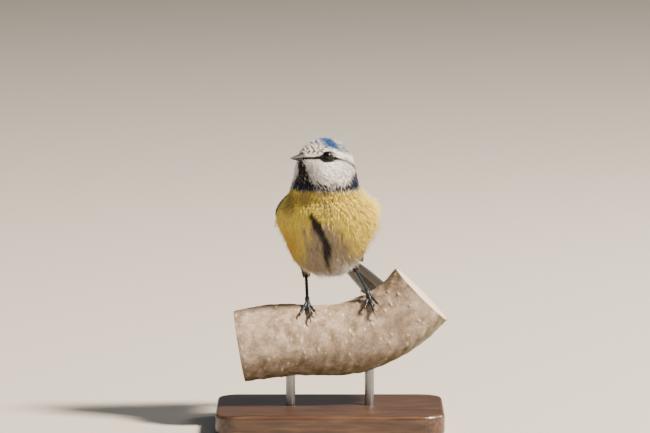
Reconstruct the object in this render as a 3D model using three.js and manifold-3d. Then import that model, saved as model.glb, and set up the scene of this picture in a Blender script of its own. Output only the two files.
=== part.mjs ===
// A life-size model of a blue tit that grips a short cut length of hazel branch, on a plain display stand.
// Millimetres, +Z up. The origin is the centre of the base's underside. The branch runs along X.
// The bird's own frame has the same up, its left side at +X and its breast towards -Y.
import * as THREE from "three";
import { mergeVertices } from "three/addons/utils/BufferGeometryUtils.js";
import Module from "manifold-3d";

const wasm = await Module();
wasm.setup();

const GAP = 0.3; // kept between neighbouring pieces
const DEG = Math.PI / 180;
const { sin, cos, exp, log, min, max, PI } = Math;

// Driving sizes of the stand and the perch
const BASE = { length: 98, depth: 68, height: 9, corner: 10, bevel: 1.5 };
const PERCH_TOP = 53; // height of the perch's top below the bird
const ROD = { radius: 2, inBase: 5, inPerch: 6, clearance: 0.3, xs: [-17, 17] };
const PERCH_RADIUS = 15.5;
const PERCH_LINE = [
  // the perch's centre line under the bird, in X and in height from the perch's top
  [-39, -18.5],
  [-21, -15.6],
  [-5, -15.9],
  [8, -15.0],
  [20, -10.8],
  [31, -4.2],
  [39.5, 4.2],
];

// Driving sizes of the bird
const BODY_YAW = -18; // degrees that the body turns from the viewer towards its own right
const HEAD_CENTRE = new THREE.Vector3(0.4, -8.6, 62.4);
const HEAD_YAW = -40; // degrees that the head turns on the body
const HEAD_PITCH = 3; // degrees that the bill points up
const EYE_RADIUS = 2.1;
const EYE_TOWARDS = new THREE.Vector3(9, -4.3, 3.1); // from the head's centre, in the head's frame
const EYE_SUNK = 1.25; // the eye's centre below the plumage
const LIDS = { radius: 2.45, thick: 0.42, lift: 1.15, wide: 1.06, high: 0.94 }; // ring, lifted off the eye's centre
const BILL = { baseAt: 9.8, rise: 1.3, length: 7.2, depth: 2.2, width: 3.9 };
const LOWER_BILL = { depth: 1.55, width: 3.5, length: 6.6 };
const NOSTRIL = { radius: 0.42, out: 1.62, along: 2.6 }; // from the bill's middle and from its base
const WING_LENGTH = 54; // folded, from the wrist to the tip
const TAIL_LENGTH = 50;
const TARSUS_RADIUS = 0.66;
const TOE_RADIUS = 0.66;

const vec = (x, y, z) => new THREE.Vector3(x, y, z);
const mix = (a, b, t) => a + (b - a) * t;
const smooth = (a, b, x) => THREE.MathUtils.smoothstep(x, a, b);

const perchTopFrame = new THREE.Matrix4().makeTranslation(0, 0, PERCH_TOP);
const birdFrame = perchTopFrame.clone().multiply(new THREE.Matrix4().makeRotationZ(BODY_YAW * DEG));
const headInBird = new THREE.Matrix4()
  .makeTranslation(HEAD_CENTRE.x, HEAD_CENTRE.y, HEAD_CENTRE.z)
  .multiply(new THREE.Matrix4().makeRotationZ(HEAD_YAW * DEG))
  .multiply(new THREE.Matrix4().makeRotationX(-HEAD_PITCH * DEG));
const birdToPerch = new THREE.Matrix4().makeRotationZ(BODY_YAW * DEG);

// Closed solids from stacked rings, with a flat or pointed cap at each end
function loftGeometry(rings, startCap, endCap) {
  const count = rings[0].length;
  const points = rings.flat();
  const first = points.push(startCap) - 1;
  const last = points.push(endCap) - 1;
  const index = [];
  for (let i = 0; i < count; i++) {
    const j = (i + 1) % count;
    index.push(first, j, i);
    for (let k = 0; k < rings.length - 1; k++) {
      const a = k * count;
      const b = a + count;
      index.push(a + i, a + j, b + j, a + i, b + j, b + i);
    }
    const top = (rings.length - 1) * count;
    index.push(last, top + i, top + j);
  }
  return indexed(points, index);
}

function indexed(points, index) {
  const geometry = new THREE.BufferGeometry().setFromPoints(points);
  geometry.setIndex(index);
  return geometry;
}

// A closed geometry as a manifold-3d solid, turned to face outwards
function solid(geometry) {
  const bare = geometry.clone();
  bare.deleteAttribute("normal");
  bare.deleteAttribute("uv");
  const merged = mergeVertices(bare, 1e-4);
  const triVerts = new Uint32Array(merged.index.array);
  const vertProperties = new Float32Array(merged.attributes.position.array);
  const make = () => new wasm.Manifold(new wasm.Mesh({ numProp: 3, vertProperties, triVerts }));
  const made = make();
  if (made.volume() > 0) return made;
  for (let i = 0; i < triVerts.length; i += 3) {
    [triVerts[i + 1], triVerts[i + 2]] = [triVerts[i + 2], triVerts[i + 1]];
  }
  return make();
}

// The largest closed surface of a solid
function largest(made) {
  const bodies = made.decompose();
  return bodies.reduce((best, body) => (body.volume() > best.volume() ? body : best));
}

const fuse = (solids) => solids.reduce((whole, piece) => whole.add(piece));

const group = new THREE.Group();

function addNode(name, made, look) {
  const { vertProperties, triVerts, numProp } = largest(made).getMesh();
  const points = [];
  for (let i = 0; i < vertProperties.length; i += numProp) {
    points.push(vec(vertProperties[i], vertProperties[i + 1], vertProperties[i + 2]));
  }
  const geometry = indexed(points, Array.from(triVerts));
  geometry.computeVertexNormals();
  const mesh = new THREE.Mesh(geometry, look);
  mesh.name = name;
  group.add(mesh);
}

const look = (color, roughness, metalness = 0) =>
  new THREE.MeshStandardMaterial({ color, roughness, metalness });

const LOOKS = {
  breast: look("#d9bf4a", 0.85),
  collar: look("#1d2c4c", 0.8),
  face: look("#e4e4e2", 0.85),
  wing: look("#4f7fb0", 0.7),
  tail: look("#54789c", 0.7),
  thigh: look("#8f9490", 0.85),
  leg: look("#4a5f74", 0.5),
  claw: look("#2a2c30", 0.35),
  bill: look("#23262b", 0.35),
  eye: look("#0b0908", 0.05),
  bark: look("#a08f84", 0.75),
  wood: look("#5b4331", 0.5),
  steel: look("#b4b6b8", 0.3, 0.9),
};

// The plumage is the surface where a smooth union of rounded forms is zero, in the bird's frame
const BLEND = 1.7; // how softly two forms run into each other

function form(centre, radii, tilt = 0, frame = new THREE.Matrix4()) {
  const toForm = frame
    .clone()
    .multiply(new THREE.Matrix4().makeTranslation(...centre))
    .multiply(new THREE.Matrix4().makeRotationX(tilt * DEG))
    .invert();
  return { toForm, radii: vec(...radii) };
}

const bodyForms = [
  form([0.2, -6.2, 38.4], [21.6, 14.8, 14.0]), // breast
  form([-0.9, -1.4, 28.6], [17.0, 15.2, 15.0]), // belly
  form([0, 2.4, 39.8], [17.4, 13.4, 12.0], -38), // mantle
  form([0, 12.6, 24.6], [8.8, 13.5, 7.4], -44), // rump
  form([0, -7.2, 50.4], [14.4, 11.8, 8.0]), // neck
];
const headForms = [
  form([0, 0.4, 0.6], [11.0, 11.2, 9.5], 0, headInBird), // skull
  form([7.0, -2.4, -5.0], [6.4, 6.8, 6.4], 0, headInBird), // left cheek
  form([-7.0, -2.4, -5.0], [6.4, 6.8, 6.4], 0, headInBird), // right cheek
  form([0, -7.2, 0.6], [3.8, 4.4, 3.6], 0, headInBird), // bill's root
  form([0, -4.6, -7.0], [6.0, 5.6, 6.4], 0, headInBird), // throat
  form([0, 5.2, -5.6], [9.6, 8.2, 8.6], 0, headInBird), // nape
];
const forms = [...bodyForms, ...headForms];

const scratch = vec(0, 0, 0);

function plumage(p) {
  let sum = 0;
  for (const { toForm, radii } of forms) {
    const q = scratch.copy(p).applyMatrix4(toForm).divide(radii);
    const near = q.length();
    const far = q.divide(radii).length();
    const distance = far < 1e-9 ? -min(radii.x, radii.y, radii.z) : (near * (near - 1)) / far;
    sum += exp(-distance / BLEND);
  }
  return -BLEND * log(sum);
}

// How far along a ray the plumage's surface, or the surface that lies `level` outside it, is met
function reach(origin, direction, level = 0) {
  const at = (r) => plumage(origin.clone().addScaledVector(direction, r)) - level;
  const step = 1;
  const farthest = 60;
  const halvings = 14;
  let r = 0;
  if (at(0) > 0) return 0;
  while (at(r + step) < 0 && r < farthest) r += step;
  let [low, high] = [r, r + step];
  for (let i = 0; i < halvings; i++) {
    const middle = (low + high) / 2;
    if (at(middle) < 0) low = middle;
    else high = middle;
  }
  return (low + high) / 2;
}

// The spine runs from the tail's root to the middle of the head; rays leave it square to its line
const TAIL_ROOT = vec(0.4, 20.6, 17.6);
const spine = new THREE.CatmullRomCurve3([
  TAIL_ROOT,
  vec(0.2, 11, 25.5),
  vec(0, 1.5, 34),
  vec(0, -5.2, 44),
  vec(0.2, -7.6, 53),
  vec(0.4, -8.4, 61.5),
]);

// A ring of the plumage: share 0 to 1 along the spine, below 0 or above 1 in the round ends
function plumageRing(share, count, level = 0) {
  const along = THREE.MathUtils.clamp(share, 0, 1);
  const centre = spine.getPointAt(along);
  const tangent = spine.getTangentAt(along);
  const side = vec(1, 0, 0).addScaledVector(tangent, -tangent.x).normalize();
  const back = tangent.clone().cross(side);
  const lean = (share - along) * 90 * DEG; // of the rays, in a round end
  const ring = [];
  for (let i = 0; i < count; i++) {
    const angle = (2 * PI * (i + 0.5)) / count;
    const direction = back.clone().multiplyScalar(cos(angle)).addScaledVector(side, sin(angle));
    direction.multiplyScalar(cos(lean)).addScaledVector(tangent, sin(lean));
    ring.push(centre.clone().addScaledVector(direction, reach(centre, direction, level)));
  }
  return ring;
}

function poleOf(share, level = 0) {
  const end = share > 0.5 ? 1 : 0;
  const centre = spine.getPointAt(end);
  const way = spine.getTangentAt(end).multiplyScalar(end ? 1 : -1);
  return centre.clone().addScaledVector(way, reach(centre, way, level));
}

const ROUND_END = 0.86; // how far past the spine's end the last ring is, where 1 would be the pole

// The plumage between two shares of the spine, closed by flat cuts or by its own round ends
function plumageSolid(from, to, rings, count, level = 0) {
  const shares = Array.from({ length: rings }, (_, i) => {
    const t = i / (rings - 1);
    return mix(max(from, -ROUND_END), min(to, 1 + ROUND_END), t);
  });
  const made = shares.map((share) => plumageRing(share, count, level));
  const startCap = from <= -1 ? poleOf(0, level) : spine.getPointAt(from);
  const endCap = to >= 2 ? poleOf(1, level) : spine.getPointAt(to);
  const geometry = loftGeometry(made, startCap, endCap).applyMatrix4(birdFrame);
  return solid(geometry);
}

const GAP_SHARE = GAP / spine.getLength();
const NECK_FROM = 0.76; // shares of the spine between which the neck is a piece of its own
const NECK_TO = 0.86;

// A round-ended or pointed tube of any radius along a row of points
function tube(points, radiusAt, sides, flatten = 1) {
  const count = points.length;
  const rings = points.map((point, i) => {
    const ahead = points[min(i + 1, count - 1)].clone().sub(points[max(i - 1, 0)]).normalize();
    const reference = Math.abs(ahead.z) > 0.9 ? vec(0, 1, 0) : vec(0, 0, 1);
    const side = ahead.clone().cross(reference).normalize();
    const up = side.clone().cross(ahead);
    const radius = radiusAt(i / (count - 1));
    return Array.from({ length: sides }, (_, k) => {
      const angle = (2 * PI * k) / sides;
      const across = side.clone().multiplyScalar(radius * cos(angle));
      return point.clone().add(across).addScaledVector(up, radius * flatten * sin(angle));
    });
  });
  return solid(loftGeometry(rings, points[0], points[count - 1]));
}

function cylinder(radius, from, to, sides = 24) {
  const geometry = new THREE.CylinderGeometry(radius, radius, 1, sides);
  const way = to.clone().sub(from);
  const turn = new THREE.Quaternion().setFromUnitVectors(vec(0, 1, 0), way.clone().normalize());
  const middle = from.clone().add(to).multiplyScalar(0.5);
  const place = new THREE.Matrix4().compose(middle, turn, vec(1, way.length(), 1));
  return solid(geometry.applyMatrix4(place));
}

function ball(centre, radius, wide = 16, high = 12) {
  return solid(new THREE.SphereGeometry(radius, wide, high).translate(centre.x, centre.y, centre.z));
}

// A thin vane from rows of [left, right] edge points on its underside, with the way up at each,
// split into triangles alike on both faces; the last row is the tip
function vane(rows, thickness) {
  const points = [];
  rows.forEach(({ left, right, up }, i) => {
    const thick = thickness * (i === rows.length - 1 ? 0.7 : 1);
    points.push(left, right);
    points.push(left.clone().addScaledVector(up, thick), right.clone().addScaledVector(up, thick));
  });
  const index = [];
  const quad = (a, b, c, d) => index.push(a, b, c, a, c, d);
  for (let i = 0; i < rows.length - 1; i++) {
    const a = i * 4;
    const b = a + 4;
    index.push(a, b, a + 1, b, b + 1, a + 1); // underside
    index.push(a + 2, a + 3, b + 2, b + 2, a + 3, b + 3); // upper face, on the same diagonals
    quad(a, a + 2, b + 2, b);
    quad(a + 1, b + 1, b + 3, a + 3);
  }
  const end = (rows.length - 1) * 4;
  quad(0, 1, 3, 2);
  quad(end, end + 2, end + 3, end + 1);
  return solid(indexed(points, index));
}

// Half width of a feather along its length, as a share of its widest: narrow root, full middle, round tip
const featherWidth = (t) => mix(0.5, 1, smooth(0, 0.35, t)) * Math.sqrt(max(0, 1 - max(0, (t - 0.62) / 0.4) ** 2));
const FEATHER_STEPS = [0, 0.36, 0.7, 0.92, 1];

// Head
const toHead = birdFrame.clone().multiply(headInBird);
const headPoint = (x, y, z) => vec(x, y, z).applyMatrix4(toHead);

function eyeCentre(side) {
  const way = EYE_TOWARDS.clone().multiply(vec(side, 1, 1)).normalize();
  const inBird = way.clone().transformDirection(headInBird);
  return way.multiplyScalar(reach(HEAD_CENTRE, inBird) - EYE_SUNK);
}

function lidRing(side) {
  const centre = eyeCentre(side);
  const way = centre.clone().normalize();
  const turn = new THREE.Quaternion().setFromUnitVectors(vec(0, 0, 1), way);
  const { radius, thick, lift, wide, high } = LIDS;
  const ring = new THREE.TorusGeometry(radius, thick, 6, 14);
  const place = new THREE.Matrix4().compose(
    centre.addScaledVector(way, lift),
    turn,
    vec(wide, high, 1),
  );
  return solid(ring.applyMatrix4(toHead.clone().multiply(place)));
}

function makeHead() {
  let head = plumageSolid(NECK_TO + GAP_SHARE, 2, 15, 30);
  for (const side of [1, -1]) {
    head = head.add(lidRing(side));
    head = head.subtract(ball(eyeCentre(side).applyMatrix4(toHead), EYE_RADIUS + GAP, 14, 10));
  }
  // The plumage closes round the bill's base, which is sunk into it
  const deep = 8;
  const mouth = new THREE.CylinderGeometry(1, 1, deep, 20)
    .scale(BILL.width / 2 + GAP, 1, BILL.depth + GAP)
    .translate(0, -(BILL.baseAt + deep / 2), BILL.rise + 0.2);
  addNode("head", head.subtract(solid(mouth.applyMatrix4(toHead))), LOOKS.face);
  for (const [name, side] of [["eye_left", 1], ["eye_right", -1]]) {
    addNode(name, ball(eyeCentre(side).applyMatrix4(toHead), EYE_RADIUS, 14, 10), LOOKS.eye);
  }
}

// One half of the bill: sections of a half ellipse that shrink and drop by `bend` towards the tip
function mandible({ depth, width, length }, bend, way) {
  const stations = [0, 0.2, 0.42, 0.64, 0.84, 1];
  const arc = 8;
  const rings = stations.map((t) => {
    const size = 1 - 0.86 * t ** 1.25;
    const y = -(BILL.baseAt + GAP + length * t);
    const flat = BILL.rise + way * (GAP / 2) - bend * t * t;
    return Array.from({ length: arc + 1 }, (_, k) => {
      const angle = (PI * k) / arc;
      const high = way * depth * size * sin(angle) ** 0.85;
      return headPoint((width / 2) * size * cos(angle), y, flat + high);
    });
  });
  const middle = (ring) => ring.reduce((sum, p) => sum.add(p), vec(0, 0, 0)).divideScalar(arc + 1);
  return solid(loftGeometry(rings, middle(rings[0]), middle(rings.at(-1))));
}

function makeBill() {
  let upper = mandible(BILL, 0.35, 1);
  for (const side of [1, -1]) {
    const nostril = headPoint(side * NOSTRIL.out, -(BILL.baseAt + NOSTRIL.along), BILL.rise + 1.3);
    upper = upper.subtract(ball(nostril, NOSTRIL.radius, 8, 6));
  }
  addNode("bill_upper", upper, LOOKS.bill);
  addNode("bill_lower", mandible(LOWER_BILL, 0.1, -1), LOOKS.bill);
}

function makeBody() {
  addNode("torso", plumageSolid(0, NECK_FROM, 26, 32), LOOKS.breast);
  addNode("neck", plumageSolid(NECK_FROM + GAP_SHARE, NECK_TO, 5, 32), LOOKS.collar);
}

// Wings: folded along a line inside the body, from the wrist down to the tip
const WING_START = vec(0, -4.3, 39.3);
const WING_SLOPE = 34.5;
// Degrees that each wing is shifted round the body, left and right, at its wrist and at its tip
const WING_TURN = { 1: { wrist: -29, tip: -38 }, [-1]: { wrist: 5, tip: 0 } };
const wingAlong = vec(0, cos(WING_SLOPE * DEG), -sin(WING_SLOPE * DEG));
const wingBack = vec(0, sin(WING_SLOPE * DEG), cos(WING_SLOPE * DEG));
const VANE_THICK = 0.5;

// A point `high` above the wing's bed, at a distance s along and an angle round from the back
function wingPoint(side, s, angle, high) {
  const centre = WING_START.clone().addScaledVector(wingAlong, s);
  const { wrist, tip } = WING_TURN[side];
  const round = (angle + mix(wrist, tip, smooth(20, 50, s))) * DEG;
  const out = wingBack.clone().multiplyScalar(cos(round));
  out.x += side * sin(round);
  const body = reach(centre, out, GAP + 0.05);
  // past the body the bed runs on and tapers, and at the wrist it sinks into the breast
  const carried = mix(mix(7, 12.6, smooth(-6, 12, s)), 3.9, smooth(14, 54, s));
  const softness = 1.6;
  const bed = (body + carried + Math.hypot(body - carried, softness)) / 2;
  return { point: centre.addScaledVector(out, bed + high).applyMatrix4(birdFrame), radius: bed };
}

// root and tip are [distance along, angle round]; the vane leans so that its outer edge lies on its neighbour
function wingVane(side, root, tip, width, rootHigh, tipHigh, lean = 0.22) {
  const rows = FEATHER_STEPS.map((t) => {
    const s = mix(root[0], tip[0], t);
    const angle = mix(root[1], tip[1], t);
    const half = (width / 2) * max(featherWidth(t), 0.16);
    const high = mix(rootHigh, tipHigh, t);
    const { radius } = wingPoint(side, s, angle, 0);
    const swing = half / radius / DEG;
    const inner = wingPoint(side, s, angle - swing, high - lean).point;
    const outer = wingPoint(side, s, angle + swing, high + lean).point;
    const above = wingPoint(side, s, angle, high + 1).point;
    const up = above.sub(wingPoint(side, s, angle, high).point).normalize();
    return { left: inner, right: outer, up };
  });
  return vane(rows, VANE_THICK);
}

// The folded arm under the coverts: a curved slab on the bed
function wingArm(side) {
  const [along, around] = [8, 6];
  const first = -4;
  const last = 26;
  const rows = Array.from({ length: along }, (_, i) => {
    const t = (i / (along - 1)) ** 1.5;
    const s = mix(first, last, t);
    const middle = mix(73, 58, smooth(0, 0.5, t));
    const half = mix(23, 29, t) * Math.sqrt(1 - (1 - smooth(-0.08, 0.34, t)) ** 2); // the wrist is round
    const [inner, outer] = [middle - half, middle + half];
    const thick = mix(1.1, 0.7, t) * mix(0.5, 1, smooth(0, 0.16, t));
    const line = (high) => (k) => {
      const q = k / (around - 1);
      const edge = 1 - 0.45 * (Math.abs(2 * q - 1) ** 4);
      return wingPoint(side, s, mix(inner, outer, q), high * edge).point;
    };
    const ks = Array.from({ length: around }, (_, k) => k);
    return [...ks.map(line(0)), ...ks.reverse().map(line(thick))];
  });
  const middle = (ring) => ring.reduce((sum, p) => sum.add(p), vec(0, 0, 0)).divideScalar(ring.length);
  return solid(loftGeometry(rows, middle(rows[0]), middle(rows.at(-1))));
}

function makeWing(name, side) {
  const pieces = [wingArm(side)];
  const row = (count, place) => {
    for (let i = 0; i < count; i++) pieces.push(wingVane(side, ...place(i / (count - 1), i)));
  };
  const tipOf = (t) => WING_LENGTH - 4 - 13 * (1 - t) ** 1.4;
  // t runs from the innermost feather of each row to the outermost
  row(5, (t) => [[15, mix(76, 87, t)], [tipOf(t), mix(62, 56, t) + 10 * t], 4.8, 0.25, 0.2]); // primaries
  row(3, (t) => [[16, mix(54, 72, t)], [mix(40, 44, t), mix(54, 66, t)], 5.8, 0.4, 0.45]); // secondaries
  row(3, (t) => [[13, mix(30, 42, t)], [mix(31, 39, t), mix(34, 47, t)], 6.2, 0.6, 0.75, 0.3]); // tertials
  row(2, (t) => [[8, mix(80, 86, t)], [mix(24, 22, t), mix(80, 87, t)], 4.4, 0.55, 0.6]); // primary coverts
  row(5, (t) => [[7, mix(36, 76, t)], [mix(22, 20, t), mix(35, 76, t)], 5.8, 0.65, 0.95]); // greater coverts
  row(5, (t) => [[-1, mix(52, 78, t)], [mix(14, 12, t), mix(38, 78, t)], 5.6, 0.6, 1.1]); // median coverts
  addNode(name, fuse(pieces), LOOKS.wing);
}

// Tail: twelve feathers from the end of the rump, the middle pair on top
const TAIL_DOWN = 31; // degrees below level
const TAIL_SWING = 14; // degrees that it swings to the bird's left
const TAIL_ROLL = 13; // degrees that its left edge is raised
const tailPlace = birdFrame
  .clone()
  .multiply(new THREE.Matrix4().makeTranslation(TAIL_ROOT.x, TAIL_ROOT.y, TAIL_ROOT.z))
  .multiply(new THREE.Matrix4().makeRotationZ(-TAIL_SWING * DEG))
  .multiply(new THREE.Matrix4().makeRotationX(-TAIL_DOWN * DEG))
  .multiply(new THREE.Matrix4().makeRotationY(-TAIL_ROLL * DEG));

const TAIL_RANKS = 6; // feathers on each side

function tailFeather(side, rank) {
  const outwards = rank / (TAIL_RANKS - 1);
  const spread = mix(0.7, 6.2, outwards); // of the tip from the middle line
  const rootX = mix(0.5, 2.4, outwards);
  const length = TAIL_LENGTH - 1 + 0.25 * rank;
  const high = 0.9 - 0.3 * rank;
  const width = mix(5.2, 4.4, outwards);
  const lean = 0.12;
  const rows = FEATHER_STEPS.map((t) => {
    const x = side * mix(rootX, spread, t ** 1.15);
    const y = mix(-2.5, length, t);
    const half = (width / 2) * max(featherWidth(t), 0.16);
    const sag = -0.9 * t * t;
    const edge = (across, dip) => vec(x + side * across, y, high + sag + dip).applyMatrix4(tailPlace);
    const up = vec(0, 0, 1).transformDirection(tailPlace);
    return { left: edge(-half, -lean), right: edge(half, lean), up };
  });
  return vane(rows, VANE_THICK);
}

function makeTail() {
  const pieces = [plumageSolid(-1, 0, 6, 20)];
  for (const side of [1, -1]) {
    for (let rank = 0; rank < TAIL_RANKS; rank++) pieces.push(tailFeather(side, rank));
  }
  const beforeRoot = new THREE.BoxGeometry(40, 20, 40);
  const tangent = spine.getTangentAt(0);
  const turn = new THREE.Quaternion().setFromUnitVectors(vec(0, 1, 0), tangent);
  const middle = TAIL_ROOT.clone().addScaledVector(tangent, 10 - GAP);
  const place = birdFrame.clone().multiply(new THREE.Matrix4().compose(middle, turn, vec(1, 1, 1)));
  addNode("tail", fuse(pieces).subtract(solid(beforeRoot.applyMatrix4(place))), LOOKS.tail);
}

// Perch
const perchLine = new THREE.CatmullRomCurve3(PERCH_LINE.map(([x, z]) => vec(x, 0, z)));
const PERCH_LENGTH = perchLine.getLength();

function perchRadius(share, angle) {
  const swell = 0.35 * sin(share * 11 + 0.6) + 0.25 * sin(2 * angle + share * 5);
  const knot = 0.8 * exp(-(((share - 0.2) / 0.07) ** 2)) * max(0, cos(angle - 2.6)) ** 3;
  return PERCH_RADIUS + 0.9 * smooth(0.6, 1, share) + swell + knot;
}

// A point `high` off the bark: share along the perch, degrees from its top towards the viewer
function perchPoint(share, degrees, high) {
  const centre = perchLine.getPointAt(share);
  const tangent = perchLine.getTangentAt(share);
  const up = vec(-tangent.z, 0, tangent.x);
  const angle = degrees * DEG;
  const out = up.multiplyScalar(cos(angle)).add(vec(0, -sin(angle), 0));
  return centre.addScaledVector(out, perchRadius(share, angle) + high).applyMatrix4(perchTopFrame);
}

// The share along the perch whose bark top lies at x
function shareUnder(x) {
  const ascending = (share) => perchPoint(share, 0, 0).x;
  let [low, high] = [0, 1];
  for (let i = 0; i < 20; i++) {
    const middle = (low + high) / 2;
    if (ascending(middle) < x) low = middle;
    else high = middle;
  }
  return low;
}

function makePerch() {
  const [rings, sides] = [17, 28];
  const made = Array.from({ length: rings }, (_, i) =>
    Array.from({ length: sides }, (_, k) => perchPoint(i / (rings - 1), (360 * k) / sides, 0)),
  );
  const end = (share) => perchLine.getPointAt(share).applyMatrix4(perchTopFrame);
  let perch = solid(loftGeometry(made, end(0), end(1)));
  for (const { top, x } of rods()) {
    const socket = cylinder(ROD.radius + ROD.clearance, vec(x, 0, BASE.height), vec(x, 0, top + GAP));
    perch = perch.subtract(socket);
  }
  addNode("perch_branch", perch, LOOKS.bark);
}

// Stand
function rods() {
  return ROD.xs.map((x) => {
    const share = (x - PERCH_LINE[0][0]) / (PERCH_LINE.at(-1)[0] - PERCH_LINE[0][0]);
    const under = perchPoint(share, 180, 0).z;
    return { x, top: under + ROD.inPerch };
  });
}

function makeStand() {
  const { length, depth, height, corner, bevel } = BASE;
  const [x, y] = [length / 2 - bevel, depth / 2 - bevel];
  const outline = new THREE.Shape()
    .moveTo(-x + corner, -y)
    .lineTo(x - corner, -y)
    .absarc(x - corner, -y + corner, corner, -PI / 2, 0)
    .lineTo(x, y - corner)
    .absarc(x - corner, y - corner, corner, 0, PI / 2)
    .lineTo(-x + corner, y)
    .absarc(-x + corner, y - corner, corner, PI / 2, PI)
    .lineTo(-x, -y + corner)
    .absarc(-x + corner, -y + corner, corner, PI, 1.5 * PI);
  const plate = new THREE.ExtrudeGeometry(outline, {
    depth: height - 2 * bevel,
    bevelThickness: bevel,
    bevelSize: bevel,
    bevelSegments: 1,
    curveSegments: 4,
  }).translate(0, 0, bevel);
  let base = solid(plate);
  rods().forEach(({ x: rodX, top }, i) => {
    const foot = vec(rodX, 0, height - ROD.inBase);
    const socket = cylinder(ROD.radius + ROD.clearance, vec(rodX, 0, foot.z - GAP), vec(rodX, 0, height + 1));
    base = base.subtract(socket);
    addNode(["stand_rod_left", "stand_rod_right"][i], cylinder(ROD.radius, foot, vec(rodX, 0, top)), LOOKS.steel);
  });
  addNode("stand_base", base, LOOKS.wood);
}

// Legs. Heels are in the perch's frame, feet are on the bark.
// Toe headings are degrees from straight forward towards the bird's left.
const FEET = {
  right: {
    foot: shareUnder(-9.9),
    turned: 8,
    heel: vec(-10.4, 8.2, 13.6),
    hip: vec(-8.5, 1, 21),
    headings: { inner: 29, middle: 9, outer: -15, hind: 178 },
  },
  left: {
    foot: shareUnder(16.6),
    turned: 20,
    heel: vec(10.2, 8.6, 15.2),
    hip: vec(9, 0, 22),
    headings: { inner: -32, middle: -8, outer: 12, hind: -156 },
  },
};
const TOES = {
  inner: { length: 7.4, claw: 3.6 },
  middle: { length: 10.2, claw: 4.2 },
  outer: { length: 8.0, claw: 3.8 },
  hind: { length: 6.4, claw: 5.2 },
};
const FOOT_HIGH = 2.7; // of the toes' meeting place above the bark
const FOOT_BALL = 1.05;
const ABOVE_FOOT = 1.1 + GAP; // the shank ends this far above the foot's middle
const THIGH = { top: 5.0, bottom: 1.35 }; // radii

function toePath(leg, name, from, to, count, highAt) {
  const heading = leg.headings[name] * DEG;
  const round = (PERCH_RADIUS + 1) * DEG; // mm round the perch for each degree
  return Array.from({ length: count }, (_, i) => {
    const s = mix(from, to, i / (count - 1));
    const share = leg.foot + (s * sin(heading)) / PERCH_LENGTH;
    return perchPoint(share, leg.turned + (s * cos(heading)) / round, highAt(s));
  });
}

function makeToe(leg, name) {
  const toe = TOES[name];
  const onBark = GAP + TOE_RADIUS;
  const high = (s) => mix(FOOT_HIGH, onBark, smooth(0, 0.45 * toe.length, s));
  const path = toePath(leg, name, 0, toe.length, 7, high);
  const knuckles = (t) => TOE_RADIUS * (0.92 + 0.14 * cos(6 * PI * t)) * mix(1.08, 0.86, t);
  return tube(path, knuckles, 6);
}

function makeClaw(leg, name) {
  const toe = TOES[name];
  const rootHigh = GAP + 0.62;
  const high = (s) => {
    const t = (s - toe.length) / toe.claw;
    return mix(rootHigh, GAP + 0.12, t) + 0.95 * sin(PI * t ** 0.9);
  };
  const path = toePath(leg, name, toe.length + GAP, toe.length + toe.claw, 6, high);
  return tube(path, (t) => mix(0.5, 0.1, t ** 1.2), 6, 1.1);
}

function makeLeg(name, leg) {
  const ankle = perchPoint(leg.foot, leg.turned, FOOT_HIGH);
  const heel = leg.heel.clone().applyMatrix4(perchTopFrame);
  const hip = leg.hip.clone().applyMatrix4(birdToPerch).applyMatrix4(perchTopFrame);
  const down = ankle.clone().sub(heel).normalize();
  const scutes = 7;
  const stations = 2 * scutes + 1;
  const shank = Array.from({ length: stations }, (_, i) => {
    const t = i / (stations - 1);
    return heel.clone().lerp(ankle.clone().addScaledVector(down, -ABOVE_FOOT), t);
  });
  const scuted = (t) => TARSUS_RADIUS * (1 + (Math.round(t * (stations - 1)) % 2 ? 0.12 : 0)) * mix(1.16, 0.96, smooth(0, 0.2, t));
  addNode("tarsus_" + name, tube(shank, scuted, 8), LOOKS.leg);

  const toes = Object.keys(TOES).map((toe) => makeToe(leg, toe));
  addNode("foot_" + name, fuse([ball(ankle, FOOT_BALL, 8, 6), ...toes]), LOOKS.leg);
  for (const toe of Object.keys(TOES)) {
    addNode(`claw_${name}_${toe}`, makeClaw(leg, toe), LOOKS.claw);
  }

  // The feathered thigh tapers from the belly's plumage to just above the heel
  const above = (far) => heel.clone().addScaledVector(down, -far);
  const thighLine = new THREE.CatmullRomCurve3([hip, hip.clone().lerp(above(3), 0.5), above(3)]).getPoints(4);
  const thigh = tube([...thighLine, above(GAP)], (t) => mix(THIGH.top, THIGH.bottom, t ** 0.8), 10);
  addNode("thigh_" + name, thigh.subtract(belly), LOOKS.thigh);
}

const belly = plumageSolid(0, NECK_FROM, 26, 32, GAP);

makeHead();
makeBill();
makeBody();
makeWing("wing_left", 1);
makeWing("wing_right", -1);
makeTail();
makeLeg("left", FEET.left);
makeLeg("right", FEET.right);
makePerch();
makeStand();

export default group;
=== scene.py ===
"""A life-size blue tit on a short cut hazel perch and a plain display stand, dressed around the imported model.

The solids' own sizes come from the same named values here: the bird's plumage is one smooth field of rounded
forms, and the skin, the feathers' roots and the wings' beds are all found on it. Sizes are in millimetres until
a mesh is written.
"""
import logging
import math
from dataclasses import dataclass, field
from enum import Enum
from typing import Callable, Sequence

import bmesh
import bpy
import numpy as np
from mathutils import Matrix, Vector
from mathutils.kdtree import KDTree


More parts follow.
